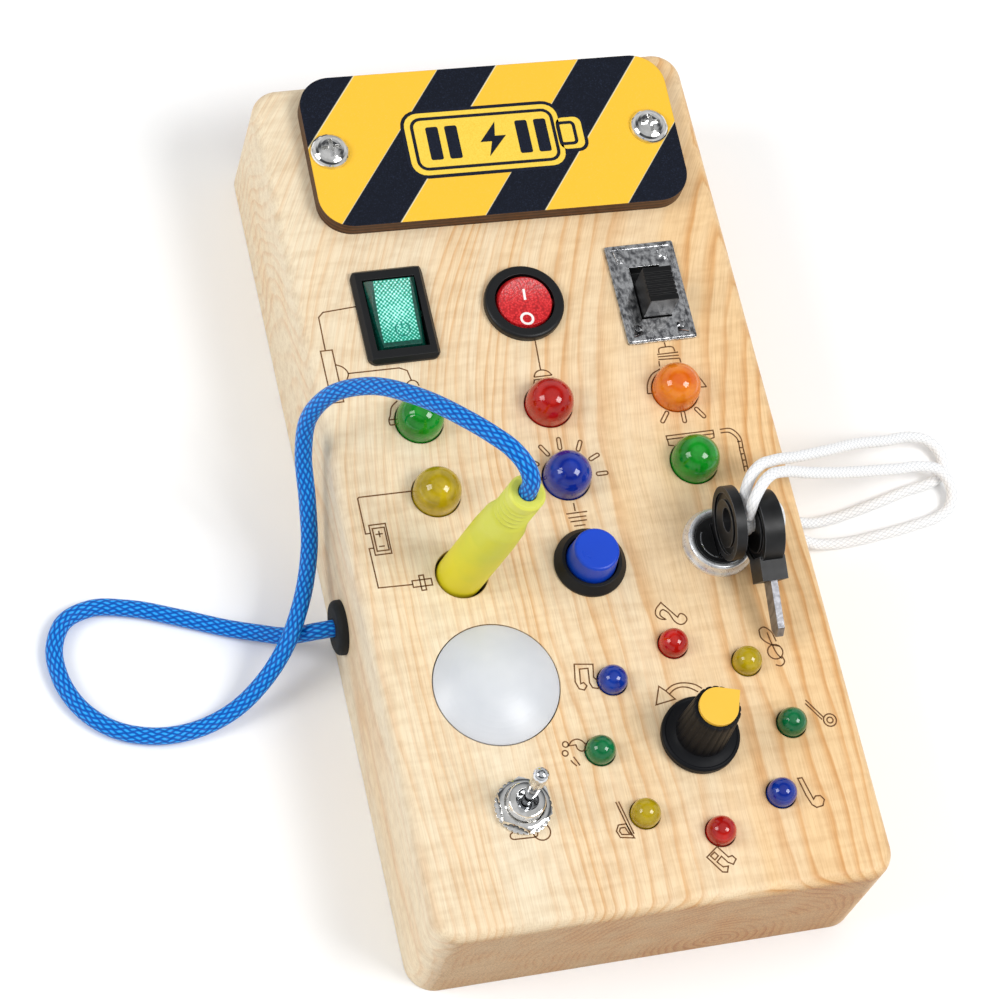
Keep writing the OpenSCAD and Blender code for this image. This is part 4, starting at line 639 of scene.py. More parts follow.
# Colour, tarnish, how metallic, roughness, stretch of the working marks, their size and
# depth in mm, nodes
metals = {
    # zinc plate: bluish white, dull bright
    "zincPlatedSteel": ["#C9CACC", "#9EA0A3", 1, 0.28, (1, 1, 1), 0.5, 0.006, [
        "back_screws", "terminals", "cell_contacts", "rotary_shaft", "rotary_nut",
        "lock_nut"]],
    # bright nickel: warm white mirror
    "brightNickelPlate": ["#EEEDEB", "#D6D5D2", 1, 0.09, (1, 1, 1), 1.2, 0.003, [
        "plate_screws"]],
    # polished chrome: cold mirror
    "polishedChrome": ["#E4E6E9", "#C8CACE", 1, 0.08, (1, 1, 1), 0.8, 0.003, ["toggle_lever"]],
    # cast zinc lock, chromed over a tumbled surface: softer and whiter
    "satinChrome": ["#F6F7F8", "#E4E6E9", 0.7, 0.3, (1, 1, 1), 1.2, 0.003, []],
    # rolled tinplate: spangled, brushed along one way
    "rolledTinplate": ["#D8D8D9", "#6E6F72", 1, 0.2, (1, 0.7, 1), 0.55, 0.07, [
        "slide_switch_plate"]],
    # stamped and tumbled key steel
    "tumbledKeySteel": ["#9C9CA0", "#7C7C80", 1, 0.5, (1, 1, 0.2), 0.5, 0.01, [
        "key_blade", "hanging_key_blade"]],
    "giltBrass": ["#D9B25A", "#B08A3C", 1, 0.2, (1, 1, 1), 0.5, 0.005, ["plug_pin"]],
}
# edges' radius, size of clouds and smears in mm, and the share that each has
handling = {"edgeMm": 0.25, "cloudMm": 7, "smearMm": 3, "edgeWear": 0.6, "cloudWear": 0.06,
            "smear": 0.16}
working = {"edgeMm": 0.08, "edgeWear": 0.4}


def mouldedPlastic(name, colour, worn, index, roughness, grainMm, depthMm, shine=0.32):
    # even colour, paler and smoother where edges are rubbed, faint texture of the mould; on the
    # key plastic the paler edges are a painted highlight
    tree, add, place = newMaterial(name, {"IOR": index, "Specular IOR Level": shine})
    rounded, rubbed = rubbedEdges(add, handling["edgeMm"])
    cloud = add("TexNoise", [place], sizeMm=handling["cloudMm"])
    share = add("MapRange", {"Value": cloud, "From Min": 0.35, "From Max": 0.8,
                             "To Max": handling["cloudWear"]})
    share = add("Math MULTIPLY_ADD", [rubbed, handling["edgeWear"], share])
    tint = add("Mix", {0: share, 6: linearColour(colour), 7: linearColour(worn)}, **blended)
    smears = add("TexNoise", [place], sizeMm=handling["smearMm"])
    dull = add("Math MULTIPLY_ADD", [
        smears, handling["smear"], roughness - handling["smear"] / 2])
    grain = add("TexNoise", [place], sizeMm=grainMm)
    feed(tree, tint, grain, depthMm, 0.6, Normal=rounded, Roughness=dull)


def workedMetal(name, colour, tarnish, metallic, roughness, stretch, markMm, depthMm):
    # mirror-like, with fine working marks, slight tarnish and bright rubbed edges
    tree, add, place = newMaterial(name, {"Metallic": metallic})
    rounded, rubbed = rubbedEdges(add, working["edgeMm"])
    drawn = add("Mapping", {"Vector": place, "Scale": stretch})
    marks = add("TexNoise", {"Vector": drawn, "Detail": 3.0}, sizeMm=markMm)
    clouds = add("TexNoise", [drawn], sizeMm=2 * markMm)
    share = add("Math MULTIPLY_ADD", [rubbed, working["edgeWear"], clouds])
    tint = add("ValToRGB", [share], stops=[(0.35, tarnish), (0.6, colour)])
    dull = add("Math MULTIPLY_ADD", [marks, roughness, roughness * 0.5])
    feed(tree, tint, marks, depthMm, 0.5, Normal=rounded, Roughness=dull)


for makeFinish, finishes in ((mouldedPlastic, plastics), (workedMetal, metals)):
    for finish, (*values, wearers) in finishes.items():
        makeFinish(finish, *values)
        dress(finish, *wearers)
print("bought parts dressed")


# Lamps and dome

lampSizes = {
    "face": 40,
    "inWood": 9,
    "flangeThick": 1.5,
    "flangeOut": 1.0,
    "big": (6.2, 2.5),     # radius, and straight side above the face
    "small": (3.75, 1.2),
}
# for each node: its size, slot, deep and light colour, and places
lamps = {
    "big_lamp_red": ("big", "lamp_red", "#A00C06", "#C41C10", [(0, 18.4)]),
    "big_lamp_orange": ("big", "lamp_orange", "#DB6408", "#F08A24", [(34.8, 18.4)]),
    "big_lamp_yellow": ("big", "lamp_yellow", "#A48C06", "#C4AA18", [(-34.8, -2.5)]),
    "big_lamp_blue": ("big", "lamp_blue", "#08228A", "#1636A6", [(0, -2.5)]),
    "big_lamps_green": ("big", "lamp_green", "#067A12", "#149A26", [
        (-34.8, 18.4), (34.8, -2.5)]),
    "small_lamps_red": ("small", "lamp_red", "#A20E08", "#C81E12", [
        (16.8, -51.7), (16.8, -102.5)]),
    "small_lamps_yellow": ("small", "lamp_yellow", "#A48C06", "#C4AA18", [
        (34.76, -59.14), (-1.16, -95.06)]),
    "small_lamps_green": ("small", "lamp_green", "#056032", "#107A46", [
        (42.2, -77.1), (-8.6, -77.1)]),
    "small_lamps_blue": ("small", "lamp_blue", "#07268A", "#123CA4", [
        (34.76, -95.06), (-1.16, -59.14)]),
}


def makeLamps():
    inWood, face = lampSizes["inWood"], lampSizes["face"]
    for node, (size, slot, deep, light, places) in lamps.items():
        radius, side = lampSizes[size]
        flange, under = radius + lampSizes["flangeOut"], -inWood - lampSizes["flangeThick"]
        profile = [(flange, under), (flange, -inWood), (radius, -inWood), (radius, 0)]
        profile += arc(0, side, radius, 0, 89.5, 24)
        title = node.title().replace("_", "")
        piece = turned("lens" + title, [(x, y, face) for x, y in places], profile)
        # cast lamp epoxy: clear wet gloss over a coloured, slightly cloudy body
        mottled("castEpoxy" + title, {
            "Roughness": 0.1, "IOR": 1.52, "Specular IOR Level": 0.3, "Coat Weight": 0.6,
            "Coat Roughness": 0.04, "Subsurface Weight": 0.15,
            "Subsurface Radius": (mm, mm, mm), "Subsurface Scale": 1.0},
                4, [(0.35, deep), (0.7, light)], 3, 0.02, 0.15)
        fit(piece, "castEpoxy" + title, "root", slot, node)
    # frosted polycarbonate: milky, with a soft sheen
    mottled("frostedPolycarbonate", {
        "Roughness": 0.36, "IOR": 1.58, "Subsurface Weight": 0.35,
        "Subsurface Radius": (3 * mm, 3 * mm, 3 * mm), "Subsurface Scale": 1.0},
            12, [(0.3, "#D2D5DA"), (0.7, "#DEE0E4")], 0.5, 0.01, 0.4)
    dress("frostedPolycarbonate", "dome_lens")


makeLamps()
print("lamps dressed")


# Rockers: lattice and marks on the caps

rockers = {
    "lean": 9,             # degrees at rest
    "green": {"pivot": (-34.8, 48.85, 39.5), "low": 3.03, "dish": 34.8,
              "latticeHalf": (4.9, 8.3), "cellMm": 1.1, "middleZ": 43},
    "red": {"pivot": (0, 48, 39.3), "low": 3.0, "dish": 20},
    "printLift": 0.04,
}


def onRocker(which):
    # gives a function that lays a flat point on the dished top of the leaning cap
    px, py, pz = rockers[which]["pivot"]
    dish = rockers[which]["dish"]
    lean = math.radians(rockers["lean"])

    def lay(x, y):
        z = rockers[which]["low"] + dish - math.sqrt(dish ** 2 - y ** 2) + rockers["printLift"]
        return (px + x, py + y * math.cos(lean) - z * math.sin(lean),
                pz + y * math.sin(lean) + z * math.cos(lean))
    return lay


def makeGreenCap():
    # clear green acrylic: dark and glossy at the bevels, a lattice of small prisms inside, painted
    # lighter towards its middle as a painted highlight
    values = rockers["green"]
    tree, add, place = newMaterial("mouldedGreenAcrylic", {
        "Roughness": 0.15, "IOR": 1.49, "Coat Weight": 0.5})
    axes = add("SeparateXYZ", [place], None).values()
    inside = 1.0
    waves = []
    for i in (0, 1):
        off = add("Math SUBTRACT", [axes[i], values["pivot"][i] * mm])
        away = add("Math ABSOLUTE", [off])
        within = add("Math LESS_THAN", [away, values["latticeHalf"][i] * mm])
        inside = add("Math MULTIPLY", [within, inside])
        turn = add("Math MULTIPLY", [off, 2 * math.pi / (values["cellMm"] * mm)])
        waves.append(add("Math SINE", [turn]))
    dots = add("Math MULTIPLY", waves)
    sparkle = add("TexNoise", [place], sizeMm=0.7)
    shade = add("Math MULTIPLY_ADD", [dots, 0.5, sparkle])
    # the lattice is lighter towards its middle: a painted highlight
    centre = tuple(c * mm for c in (*values["pivot"][:2], values["middleZ"]))
    middle = add("VectorMath DISTANCE", [place, centre], "Value")
    shade = add("Math MULTIPLY_ADD", [middle, -45.0, shade])
    lattice = add("ValToRGB", [shade], stops=[
        (0.0, "#0C8064"), (0.12, "#17A586"), (0.38, "#52D6C0"), (0.66, "#C4FFF5")])
    clear = add("ValToRGB", [sparkle], stops=[(0.3, "#06382F"), (0.7, "#0C5546")])
    tint = add("Mix", {0: inside, 6: clear, 7: lattice}, **blended)
    relief = add("Math MULTIPLY", [dots, inside])
    feed(tree, tint, relief, 0.05, 0.5, Normal=rubbedEdges(add, 0.3)[0])
    dress("mouldedGreenAcrylic", "green_rocker_cap")


def makeRedCap():
    # red acrylic, stippled all over so that fingers grip it
    tree, add, place = newMaterial("stippledRedAcrylic", {"Roughness": 0.3, "IOR": 1.49})
    stipple = add("TexVoronoi", [place], "Distance", sizeMm=0.6)
    tint = add("ValToRGB", [stipple], stops=[
        (0.1, "#EC3A3C"), (0.45, "#CE1C22"), (0.8, "#A80E16")])
    feed(tree, tint, stipple, 0.08, 0.6, Normal=rubbedEdges(add, 0.3)[0])
    dress("stippledRedAcrylic", "red_rocker_cap")


def makeRockerMarks():
    # pad-printed ink: flat, slightly worn in the middle
    for name, pale, thin in (("printedWhiteInk", "#F4F2EE", "#E2B9B4"),
                             ("printedTealInk", "#188574", "#2FA894")):
        mottled(name, {"Roughness": 0.45, "IOR": 1.5}, 0.8, [(0.25, thin), (0.4, pale)],
                0.8, 0.01)
    onMark = addMarks("onOffMarks", onRocker("red"), 0.66, thick=0.1,
                      lines=[[(0.1, 0.7 + i * 0.58) for i in range(6)]],
                      loops=[circle(-0.5, -4.6, 1.55, 28)])
    powerMark = addMarks("powerMark", onRocker("green"), 0.4, thick=0.1,
                         lines=[arc(0.8, -4.4, 1.9, 125, 415, 24),
                                [(0.8, -4.2), (0.8, -3.2), (0.8, -2.2)]])
    fit(onMark, "printedWhiteInk", "red_rocker", "red_cap")
    fit(powerMark, "printedTealInk", "green_rocker", "green_cap")


makeGreenCap()
makeRedCap()
makeRockerMarks()
print("rocker caps made")


# Plug

plug = {"lowZ": 46, "highZ": 88}


def makePlug():
    # soft PVC: dull, lets some light through, more lemon at its thick end
    tree, add, place = newMaterial("softLimePvc", {
        "Roughness": 0.42, "IOR": 1.53, "Subsurface Weight": 0.4,
        "Subsurface Radius": (2 * mm, 2 * mm, mm), "Subsurface Scale": 1.0})
    height = add("SeparateXYZ", [place], "Z")
    cloud = add("TexNoise", [place], sizeMm=7)
    cloud = add("MapRange", {"Value": cloud, "To Min": -0.3, "To Max": 0.3})
    upwards = add("MapRange", {"Value": height, "From Min": plug["lowZ"] * mm,
                               "From Max": plug["highZ"] * mm})
    share = add("Math ADD", [upwards, cloud])
    matt = add("TexNoise", [place], sizeMm=0.4)
    tint = add("ValToRGB", [share], stops=[(0.1, "#E6DC22"), (0.5, "#D6D634"), (0.9, "#DADB58")])
    feed(tree, tint, matt, 0.02, 0.5, Normal=rubbedEdges(add, 0.3)[0])
    dress("softLimePvc", "plug_grip")


makePlug()
print("plug dressed")


# Selector knob: fluted barrel on a dished skirt

knob = {
    "centre": (17.5, -77.1, 40),
    "topZ": 20,
    "topRadius": 6.0,
    "footRadius": 6.8,
    "footZ": 3.6,
    "skirtRadius": 10.1,
    "flutes": 20,
    "fluteDepth": 0.28,
    "dish": [(8.2, -0.75), (9.1, -1.0), (9.4, -0.85), (9.8, -1.0)],
}


def makeKnob():
    top, foot, skirt = knob["topRadius"], knob["footRadius"], knob["skirtRadius"]
    high, low = knob["topZ"], knob["footZ"]
    barrel = [(foot + (top - foot) * i / 12, low + (high - 0.5 - low) * i / 12)
              for i in range(13)]
    profile = ([(1, high - 0.6), (top - 1.3, high - 0.6), (top - 1.1, high - 0.05),
                (top - 0.5, high), (top - 0.15, high - 0.15)] + barrel[::-1]
               + [(foot + 0.5, low - 0.35)] + [(r, low + z) for r, z in knob["dish"]]
               + [(skirt, low - 1.4), (skirt, 0.5), (skirt - 2, 0.5), (skirt - 2, 2.2),
                  (1, 2.2)])

    def flute(angle, radius, z):
        if not (low + 0.4 < z and top - 0.7 < radius <= foot):
            return radius, z
        groove = max(0.0, math.cos(knob["flutes"] * angle)) ** 2
        return radius - knob["fluteDepth"] * groove, z

    piece = turned("selectorKnob", [knob["centre"]], profile[::-1], 216, shape=flute)
    fit(piece, "mouldedKnobAbs", "selector_knob", "knob_black", "knob")


# satin black ABS, slightly greasy from fingers
mouldedPlastic("mouldedKnobAbs", "#151619", "#2A2B2F", 1.54, 0.46, 0.5, 0.03, shine=0.1)
makeKnob()
print("knob made")


# Toggle switch: threaded bushing, chamfered nut and serrated washer

toggle = {
    "centre": (-31.3, -88.6, 40),
    "bushingRadius": 4.9,
    "bushingTop": 6.0,
    "threadTop": 5.5,
    "bushingFoot": -4.0,
    "pitch": 0.9,
    "threadDepth": 0.4,
    "boreTop": 2.9,
    "boreFoot": 1.9,
    "boreZ": 1.6,
    "washerRadius": 7.3,
    "teeth": 30,
    "nutAcrossFlats": 12.6,
    "nutFoot": 0.8,
    "nutTop": 3.4,
}


def makeToggle():
    outer, top, pitch = toggle["bushingRadius"], toggle["bushingTop"], toggle["pitch"]
    count = round((toggle["threadTop"] - toggle["bushingFoot"]) / (pitch / 6))
    thread = [(outer, toggle["bushingFoot"] + i * pitch / 6) for i in range(count + 1)]
    profile = ([(2.0, toggle["bushingFoot"])] + thread
               + [(outer - 0.35, top - 0.1), (outer - 0.6, top), (toggle["boreTop"], top),
                  (toggle["boreFoot"], toggle["boreZ"]),
                  (toggle["boreFoot"], toggle["bushingFoot"] + 0.5)])

    def cutThread(angle, radius, z):
        if radius != outer:
            return radius, z
        rise = abs((z / pitch + angle / (2 * math.pi)) % 1 - 0.5) * 2
        return radius - toggle["threadDepth"] * rise, z

    bushing = turned("toggleBushing", [toggle["centre"]], profile, 60, closed=True,
                     shape=cutThread)
    flat = toggle["nutAcrossFlats"] / 2
    low, high = toggle["nutFoot"], toggle["nutTop"]

    def hexagon(angle, radius, z):
        if radius < flat:
            return radius, z
        corner = flat / math.cos((angle + math.pi / 6) % (math.pi / 3) - math.pi / 6)
        drop = max(0.0, corner - flat * 1.01) * 0.6
        return corner, (high - drop - 0.1 if z == high else low + drop * 0.4)

    nut = turned("toggleNut", [toggle["centre"]], [
        (outer + 0.05, low), (flat * 0.97, low), (flat, low), (flat, high),
        (flat * 0.96, high), (outer + 0.45, high), (outer + 0.05, high - 0.4)],
                 120, closed=True, shape=hexagon)

    def serrate(angle, radius, z):
        if radius < toggle["washerRadius"] - 0.5:
            return radius, z
        return radius - (0.4 if round(angle * toggle["teeth"] / math.pi) % 2 else 0.0), z

    washer = turned("toggleWasher", [toggle["centre"]], [
        (outer + 0.05, 0), (toggle["washerRadius"], 0), (toggle["washerRadius"], 0.65),
        (toggle["washerRadius"] - 0.7, 0.8), (outer + 0.05, 0.8)],
                    4 * toggle["teeth"], closed=True, shape=serrate)
    for piece, node in ((bushing, "toggle_bushing"), (nut, "toggle_nut"),
                        (washer, "toggle_washer")):
        fit(piece, "brightNickelPlate", "root", "chrome", node)


makeToggle()
print("toggle made")


# Lock: its chromed body, and the line and the pin on the face of its core

lock = {
    "centre": (35.5, -25.9, 40),
    "barrelRadius": 7.95,
    "boreRadius": 6.7,
    "depth": 22,
    "floorThick": 2,
    "ringRadius": 9.5,
    "coreTop": 2.4,
    "rim": [(0, 0), (0, 0.65), (-0.08, 0.85), (-0.25, 1.02)],
    "shoulder": (8.66, 2.3),
    "rimTop": (7.7, 2.25, 0.95),
    "arcRadius": 5.1,
    "arcWidth": 0.35,
    "pinAt": (1.6, -5.2),
    "pinRadius": 0.55,
}


def makeLockBody():
    barrel, bore, ring = lock["barrelRadius"], lock["boreRadius"], lock["ringRadius"]
    profile = [(0.05, -lock["depth"]), (barrel, -lock["depth"]), (barrel, 0)]
    profile += [(ring + r, z) for r, z in lock["rim"]] + [lock["shoulder"]]
    profile += arc(*lock["rimTop"], 5, 120, 12)
    profile += [(bore, 2.2), (bore, lock["floorThick"] - lock["depth"]),
                (0.05, lock["floorThick"] - lock["depth"])]
    body = turned("lockBody", [lock["centre"]], profile, 128)
    fit(body, "satinChrome", "root", "chrome", "lock_body")


def makeLockMarks():
    cx, cy, face = lock["centre"]
    top = face + lock["coreTop"] + 0.05
    marks = addMarks("lockCoreMarks", lambda x, y: (cx + x, cy + y, top),
                     lock["arcWidth"], thick=0.1,
                     lines=[arc(0, 0, lock["arcRadius"], 150, 262, 16)],
                     solids=[circle(*lock["pinAt"], lock["pinRadius"], 12)])
    fit(marks, "polishedChrome", "lock_core", "chrome")


makeLockBody()
makeLockMarks()
print("lock made")


# Push button: its return spring

spring = {"centre": (0.6, -26.8, 25.5), "radius": 4.8, "wire": 0.9, "length": 11.16,
          "turns": 6, "stepsPerTurn": 24, "pressed": 3.2}


def makeSpring():
    wire = spring["wire"] / 2
    rise = spring["length"] - spring["wire"]
    steps = spring["turns"] * spring["stepsPerTurn"]
    path = []
    for i in range(steps + 1):
        angle = 2 * math.pi * spring["turns"] * i / steps
        path.append(Vector(spring["centre"]) + Vector((
            spring["radius"] * math.cos(angle), spring["radius"] * math.sin(angle),
            wire + rise * i / steps)))
    piece = sweepTube("returnSpring", path, wire, 8)
    fit(piece, "zincPlatedSteel", "root", "steel", "push_button_spring")
    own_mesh(piece)


makeSpring()
print("spring made")


# Slide switch: pressed rim and punched corner tabs on its plate

slidePlate = {
    "centre": (34.8, 47.15),
    "half": (9.5, 14.5),
    "top": 40.9,
    "rimIn": 0.9,
    "rimWidth": 0.7,
    "tabHeight": 0.6,
    # foot and top of a tab: how far in from the plate's corner, and how high
    "tab": ((1.8, 1.6, 0), (4.9, 2.3, 0), (4.6, 3.9, 0), (2.3, 5.8, 0),
            (2.0, 1.9, 1), (4.4, 2.5, 0.7), (4.2, 3.5, 0.4), (2.6, 5.0, 0.6)),
}


def makeSlidePlate():
    cx, cy = slidePlate["centre"]
    hx, hy = slidePlate["half"]
    top = slidePlate["top"]
    rim = addMarks("pressedRim", lambda x, y: (cx + x, cy + y, top + 0.2),
                   slidePlate["rimWidth"], thick=0.3,
                   loops=[[(sx * (hx - slidePlate["rimIn"]), sy * (hy - slidePlate["rimIn"]))
                           for sx, sy in ((-1, -1), (1, -1), (1, 1), (-1, 1))]])
    points, faces = [], []
    for sx in (-1, 1):
        for sy in (-1, 1):
            foot = len(points)
            for dx, dy, up in slidePlate["tab"]:
                points.append((cx + sx * (hx - dx), cy + sy * (hy - dy),
                               top - 0.05 + slidePlate["tabHeight"] * up))
            sides = [(0, 1, 5, 4), (1, 2, 6, 5), (2, 3, 7, 6), (3, 0, 4, 7), (4, 5, 6, 7),
                     (3, 2, 1, 0)]
            faces += [tuple(foot + i for i in (side if sx * sy < 0 else side[::-1]))
                      for side in sides]
    tabs = addMesh("punchedTabs", points, faces)
    for piece in (rim, tabs):
        fit(piece, "rolledTinplate", "root", "tinplate")


makeSlidePlate()
print("slide switch made")


# Striped plate and the battery drawn on it

plate = {
    "top": 44.5,
    "stripeSlope": 0.811,
    "stripePitch": 40.1,
    "stripeWidth": 16.8,
    "stripeStart": -105.0,
    "yellow": "#F8C336",
    "navy": "#0A101E",
    "veneerMm": 1.5,
    "glitterMm": 0.3,      # printed grain is finer, drawn coarser to show
    "signTurn": -1.3,
    "signCentre": (0.5, 95.6),
    "signLine": 0.9,
    "bolt": [(2.4, 5.2), (-2.6, -0.7), (0.6, -0.7), (-0.8, -5.2), (4.8, 0.9), (1.7, 0.9)],
    "barsFromX": (-16.8, -11.6, 7.8, 13),
    "barWidth": 3.4,
    "varnish": {"IOR": 1.5, "Roughness": 0.42, "Specular IOR Level": 0.25},
}


def makePlate():
    # laser-cut plywood, printed on top with a satin varnish, charred brown at the cut edge
    tree, add, place = newMaterial("printedPlywood", plate["varnish"])
    x, y, z = add("SeparateXYZ", [place], None).values()
    slanted = add("Math MULTIPLY_ADD", [y, -plate["stripeSlope"], x])
    slanted = add("Math SUBTRACT", [slanted, plate["stripeStart"] * mm])
    turns = add("Math DIVIDE", [slanted, plate["stripePitch"] * mm])
    turns = add("Math FRACT", [turns])
    share = plate["stripeWidth"] / plate["stripePitch"]
    stripes = add("ValToRGB", [turns], stops=[
        (0.0, "#F8F0CC"), (0.006, plate["navy"]), (share - 0.006, plate["navy"]),
        (share, "#F8F0CC"), (share + 0.006, plate["yellow"]), (0.994, plate["yellow"])])
    grain = add("TexNoise", [place], sizeMm=plate["glitterMm"])
    glitter = add("ValToRGB", [grain], stops=[(0.55, "#000000"), (0.8, "#4A5878")])
    stripes = add("Mix", {0: 0.3, 6: stripes, 7: glitter}, blend_type="ADD", **blended)
    layers = add("Math DIVIDE", [z, plate["veneerMm"] * mm])
    layers = add("Math FRACT", [layers])
    layers = add("ValToRGB", [layers], stops=[
        (0.1, "#3A2413"), (0.4, "#74492A"), (0.8, "#553620")])
    flat = add("Mapping", {"Vector": place, "Scale": (1, 1, 4)})
    soot = add("TexNoise", [flat], sizeMm=2)
    soot = add("ValToRGB", [soot], stops=[(0.3, "#6A4A30"), (0.7, "#FFFFFF")])
    layers = add("Mix", {0: 0.5, 6: layers, 7: soot}, **tinted)
    onTop = add("Math GREATER_THAN", [z, (plate["top"] - 0.05) * mm])
    tint = add("Mix", {0: onTop, 6: layers, 7: stripes}, **blended)
    feed(tree, tint, grain, 0.02, 0.35, Normal=rubbedEdges(add, 0.3)[0])
    dress("printedPlywood", "striped_plate")


def makeBatterySign():
    # a lying battery with charge bars and a bolt, screen printed in two colours
    turn = math.radians(plate["signTurn"])
    cx, cy = plate["signCentre"]

    def onPlate(lift):
        return lambda x, y: (cx + x * math.cos(turn) - y * math.sin(turn),
                             cy + x * math.sin(turn) + y * math.cos(turn),
                             plate["top"] + lift)

    bars = [roundedRectangle(x, -5, x + plate["barWidth"], 5, 0.6) for x in plate["barsFromX"]]
    layers = (
        ("signOutline", "screenPrintedNavy", 0.04, {"solids": [
            roundedRectangle(-23.4, -10.4, 21, 10.4, 5), roundedRectangle(20, -5.8, 27, 5.8, 3)]}),
        ("signGround", "screenPrintedYellow", 0.08, {"solids": [
            roundedRectangle(-22.4, -9.4, 20, 9.4, 4), roundedRectangle(19, -4.8, 26, 4.8, 2)]}),
        ("signBattery", "screenPrintedNavy", 0.12, {"solids": bars + [plate["bolt"]], "loops": [
            roundedRectangle(-20.4, -7.6, 18.2, 7.6, 2.6),
            roundedRectangle(19.4, -3.2, 23.8, 3.2, 1)]}))
    for name, ink, thin in (("screenPrintedYellow", "#F7D552", "#EFC23A"),
                            ("screenPrintedNavy", "#0D1220", "#1C2438")):
        mottled(name, plate["varnish"], plate["glitterMm"], [(0.4, ink), (0.75, thin)],
                plate["glitterMm"], 0.02, 0.35)
    for name, ink, lift, shapes in layers:
        piece = addMarks(name, onPlate(lift), plate["signLine"], thick=0.05, **shapes)
        fit(piece, ink, "root", "printed_ply")


makePlate()
makeBatterySign()
print("plate made")


# Lines burnt into the play face

burnt = {"width": 0.36, "lift": 0.03, "face": 40.0, "brown": "#7E5630", "char": "#543517"}
rays = [((-8.7, 3.7), (-6.7, 2.3)), ((-4.7, 7), (-3.3, 4.7)), ((0.5, 8.5), (0.3, 6)),
        ((6, 7), (5, 5)), ((9.7, 2.8), (7.7, 1.9)), ((8.7, -2.5), (10.8, -2.5)),
        ((-8.5, -1.5), (-7, -1.8)), ((31, 12.2), (29.3, 10)), ((35.3, 11.7), (35.2, 9.3)),
        ((39.2, 12.3), (40.7, 10))]
burntLines = {
    "greenLampLines": [
        [(-44.5, 52.9), (-53.3, 52.3), (-54.7, 51), (-54.9, 41.5)],
        curved((-53, 37), (-51.3, 36), (-50.3, 34.1), (-51, 32.3)),
        [(-50.3, 34.1), (-36.7, 34), (-34.8, 33), (-34.3, 30.1)],
        curved((-35.9, 28.2), (-35.5, 29.5), (-34.3, 30.1), (-33, 29.5), (-32.6, 28.3)),
        curved((-39.2, 24.8), (-41, 23.3), (-42, 20.7), (-42.5, 19.7), (-42.5, 18.2)),
        [(-42.5, 19.7), (-41, 19.7)], [(-42.5, 18.2), (-40.3, 18.2)]],
    "redLampLines": [
        [(0.8, 37.3), (0.3, 28.7)],
        curved((-1.9, 26.9), (-1.2, 28.1), (0.3, 28.7), (2.1, 28.1), (3, 26.9)),
        [(-1.9, 26.9), (3, 26.9)], [(-2.2, 26.1), (3.2, 26.1)],
        curved((-2, 26), (-2.6, 24.6), (-4, 22.7)), curved((3.2, 26), (3.9, 24.6), (5.2, 23))],
    "orangeLampLines": [
        [(35.3, 32.5), (35.3, 31)],
        curved((33.1, 29.5), (33.3, 30.7), (35.3, 31.1), (37.3, 30.7), (37.5, 29.5)),
        [(32.5, 29.2), (38.3, 29.2)], [(32.5, 28.5), (38.3, 28.3)], [(32.5, 27.7), (38.3, 27.4)],
        [(32.5, 27.3), (32.3, 25.7)], [(38.3, 27.3), (38.3, 25.5)],
        curved((32.3, 25), (29.7, 23.7), (27.7, 20.7), (27.2, 18.3)),
        [(27.2, 18.3), (29.3, 18.3)],
        curved((39, 25), (40.9, 23.4), (42.3, 21), (43.5, 18.3)), [(43.5, 18.3), (41.8, 18.4)]],
    "blueLampLines": [
        [(0.3, -9.7), (0.2, -12)], [(-2.3, -12.5), (3.3, -12.5)], [(-2, -13.7), (2.8, -13.7)],
        [(-1.7, -14.8), (2.7, -14.8)], [(-1, -16.1), (2, -16.1)]],
    "batteryLines": [
        [(-40.2, -0.8), (-54.7, -0.7), (-55.1, -1), (-55.1, -10.9), (-53.8, -10.9)],
        [(-53.8, -15), (-55, -15), (-54.9, -25.9), (-46, -26.2)],
        [(-52.6, -11.4), (-50.7, -11.4)], [(-51.6, -10.5), (-51.6, -12.3)],
        [(-52.4, -14.8), (-50.9, -14.8)]],
    "greenPipeLines": [
        [(29.3, 4.7), (29.3, 3), (30.7, 2.7)], [(42.1, 4.7), (41.9, 3.6), (40.9, 3.4), (41, 2.6)],
        curved((44, 5.7), (47, 5.5), (48.8, 3.3), (48.9, -1), (48.7, -7)),
        curved((44, 4.7), (46.3, 4.5), (47.9, 2.7), (47.9, -1), (47.7, -7))]
    + [[(47.8, y), (48.8, y)] for y in (1.6, -0.2, -2, -3.8, -5.6)],
    "turnArrowLines": [
        curved((12, -63.75), (14, -62.6), (16, -62.25), (18, -62.5), (20, -63.25), (21.5, -64.5)),
        curved((12.75, -64.75), (14.25, -63.75), (16.25, -63.35), (18, -63.75),
               (20.25, -65.25))],
    "musicLines": [
        curved((40.25, -51), (41.5, -50.4), (43, -51.5), (44, -54.75)),
        curved((40.25, -51), (40.2, -53), (42.4, -55.4), (44.6, -56.2)),
        curved((42.2, -52), (42.6, -55), (43.6, -58.6), (44.3, -59.6)),
        curved((42.25, -61), (43.5, -61.5), (44.75, -60.5), (44.5, -59)),
        curved((-15.6, -77.5), (-15.1, -78.6), (-14.5, -80)),
        curved((-16.5, -78.3), (-16, -79.2), (-15.3, -80)),
        [(47.5, -71.5), (51, -76.75)], [(47.2, -72.4), (50.5, -77.3)],
        [(-7.75, -90.75), (-5.75, -100)], [(-7, -90.75), (-5.1, -99.6)]],
}
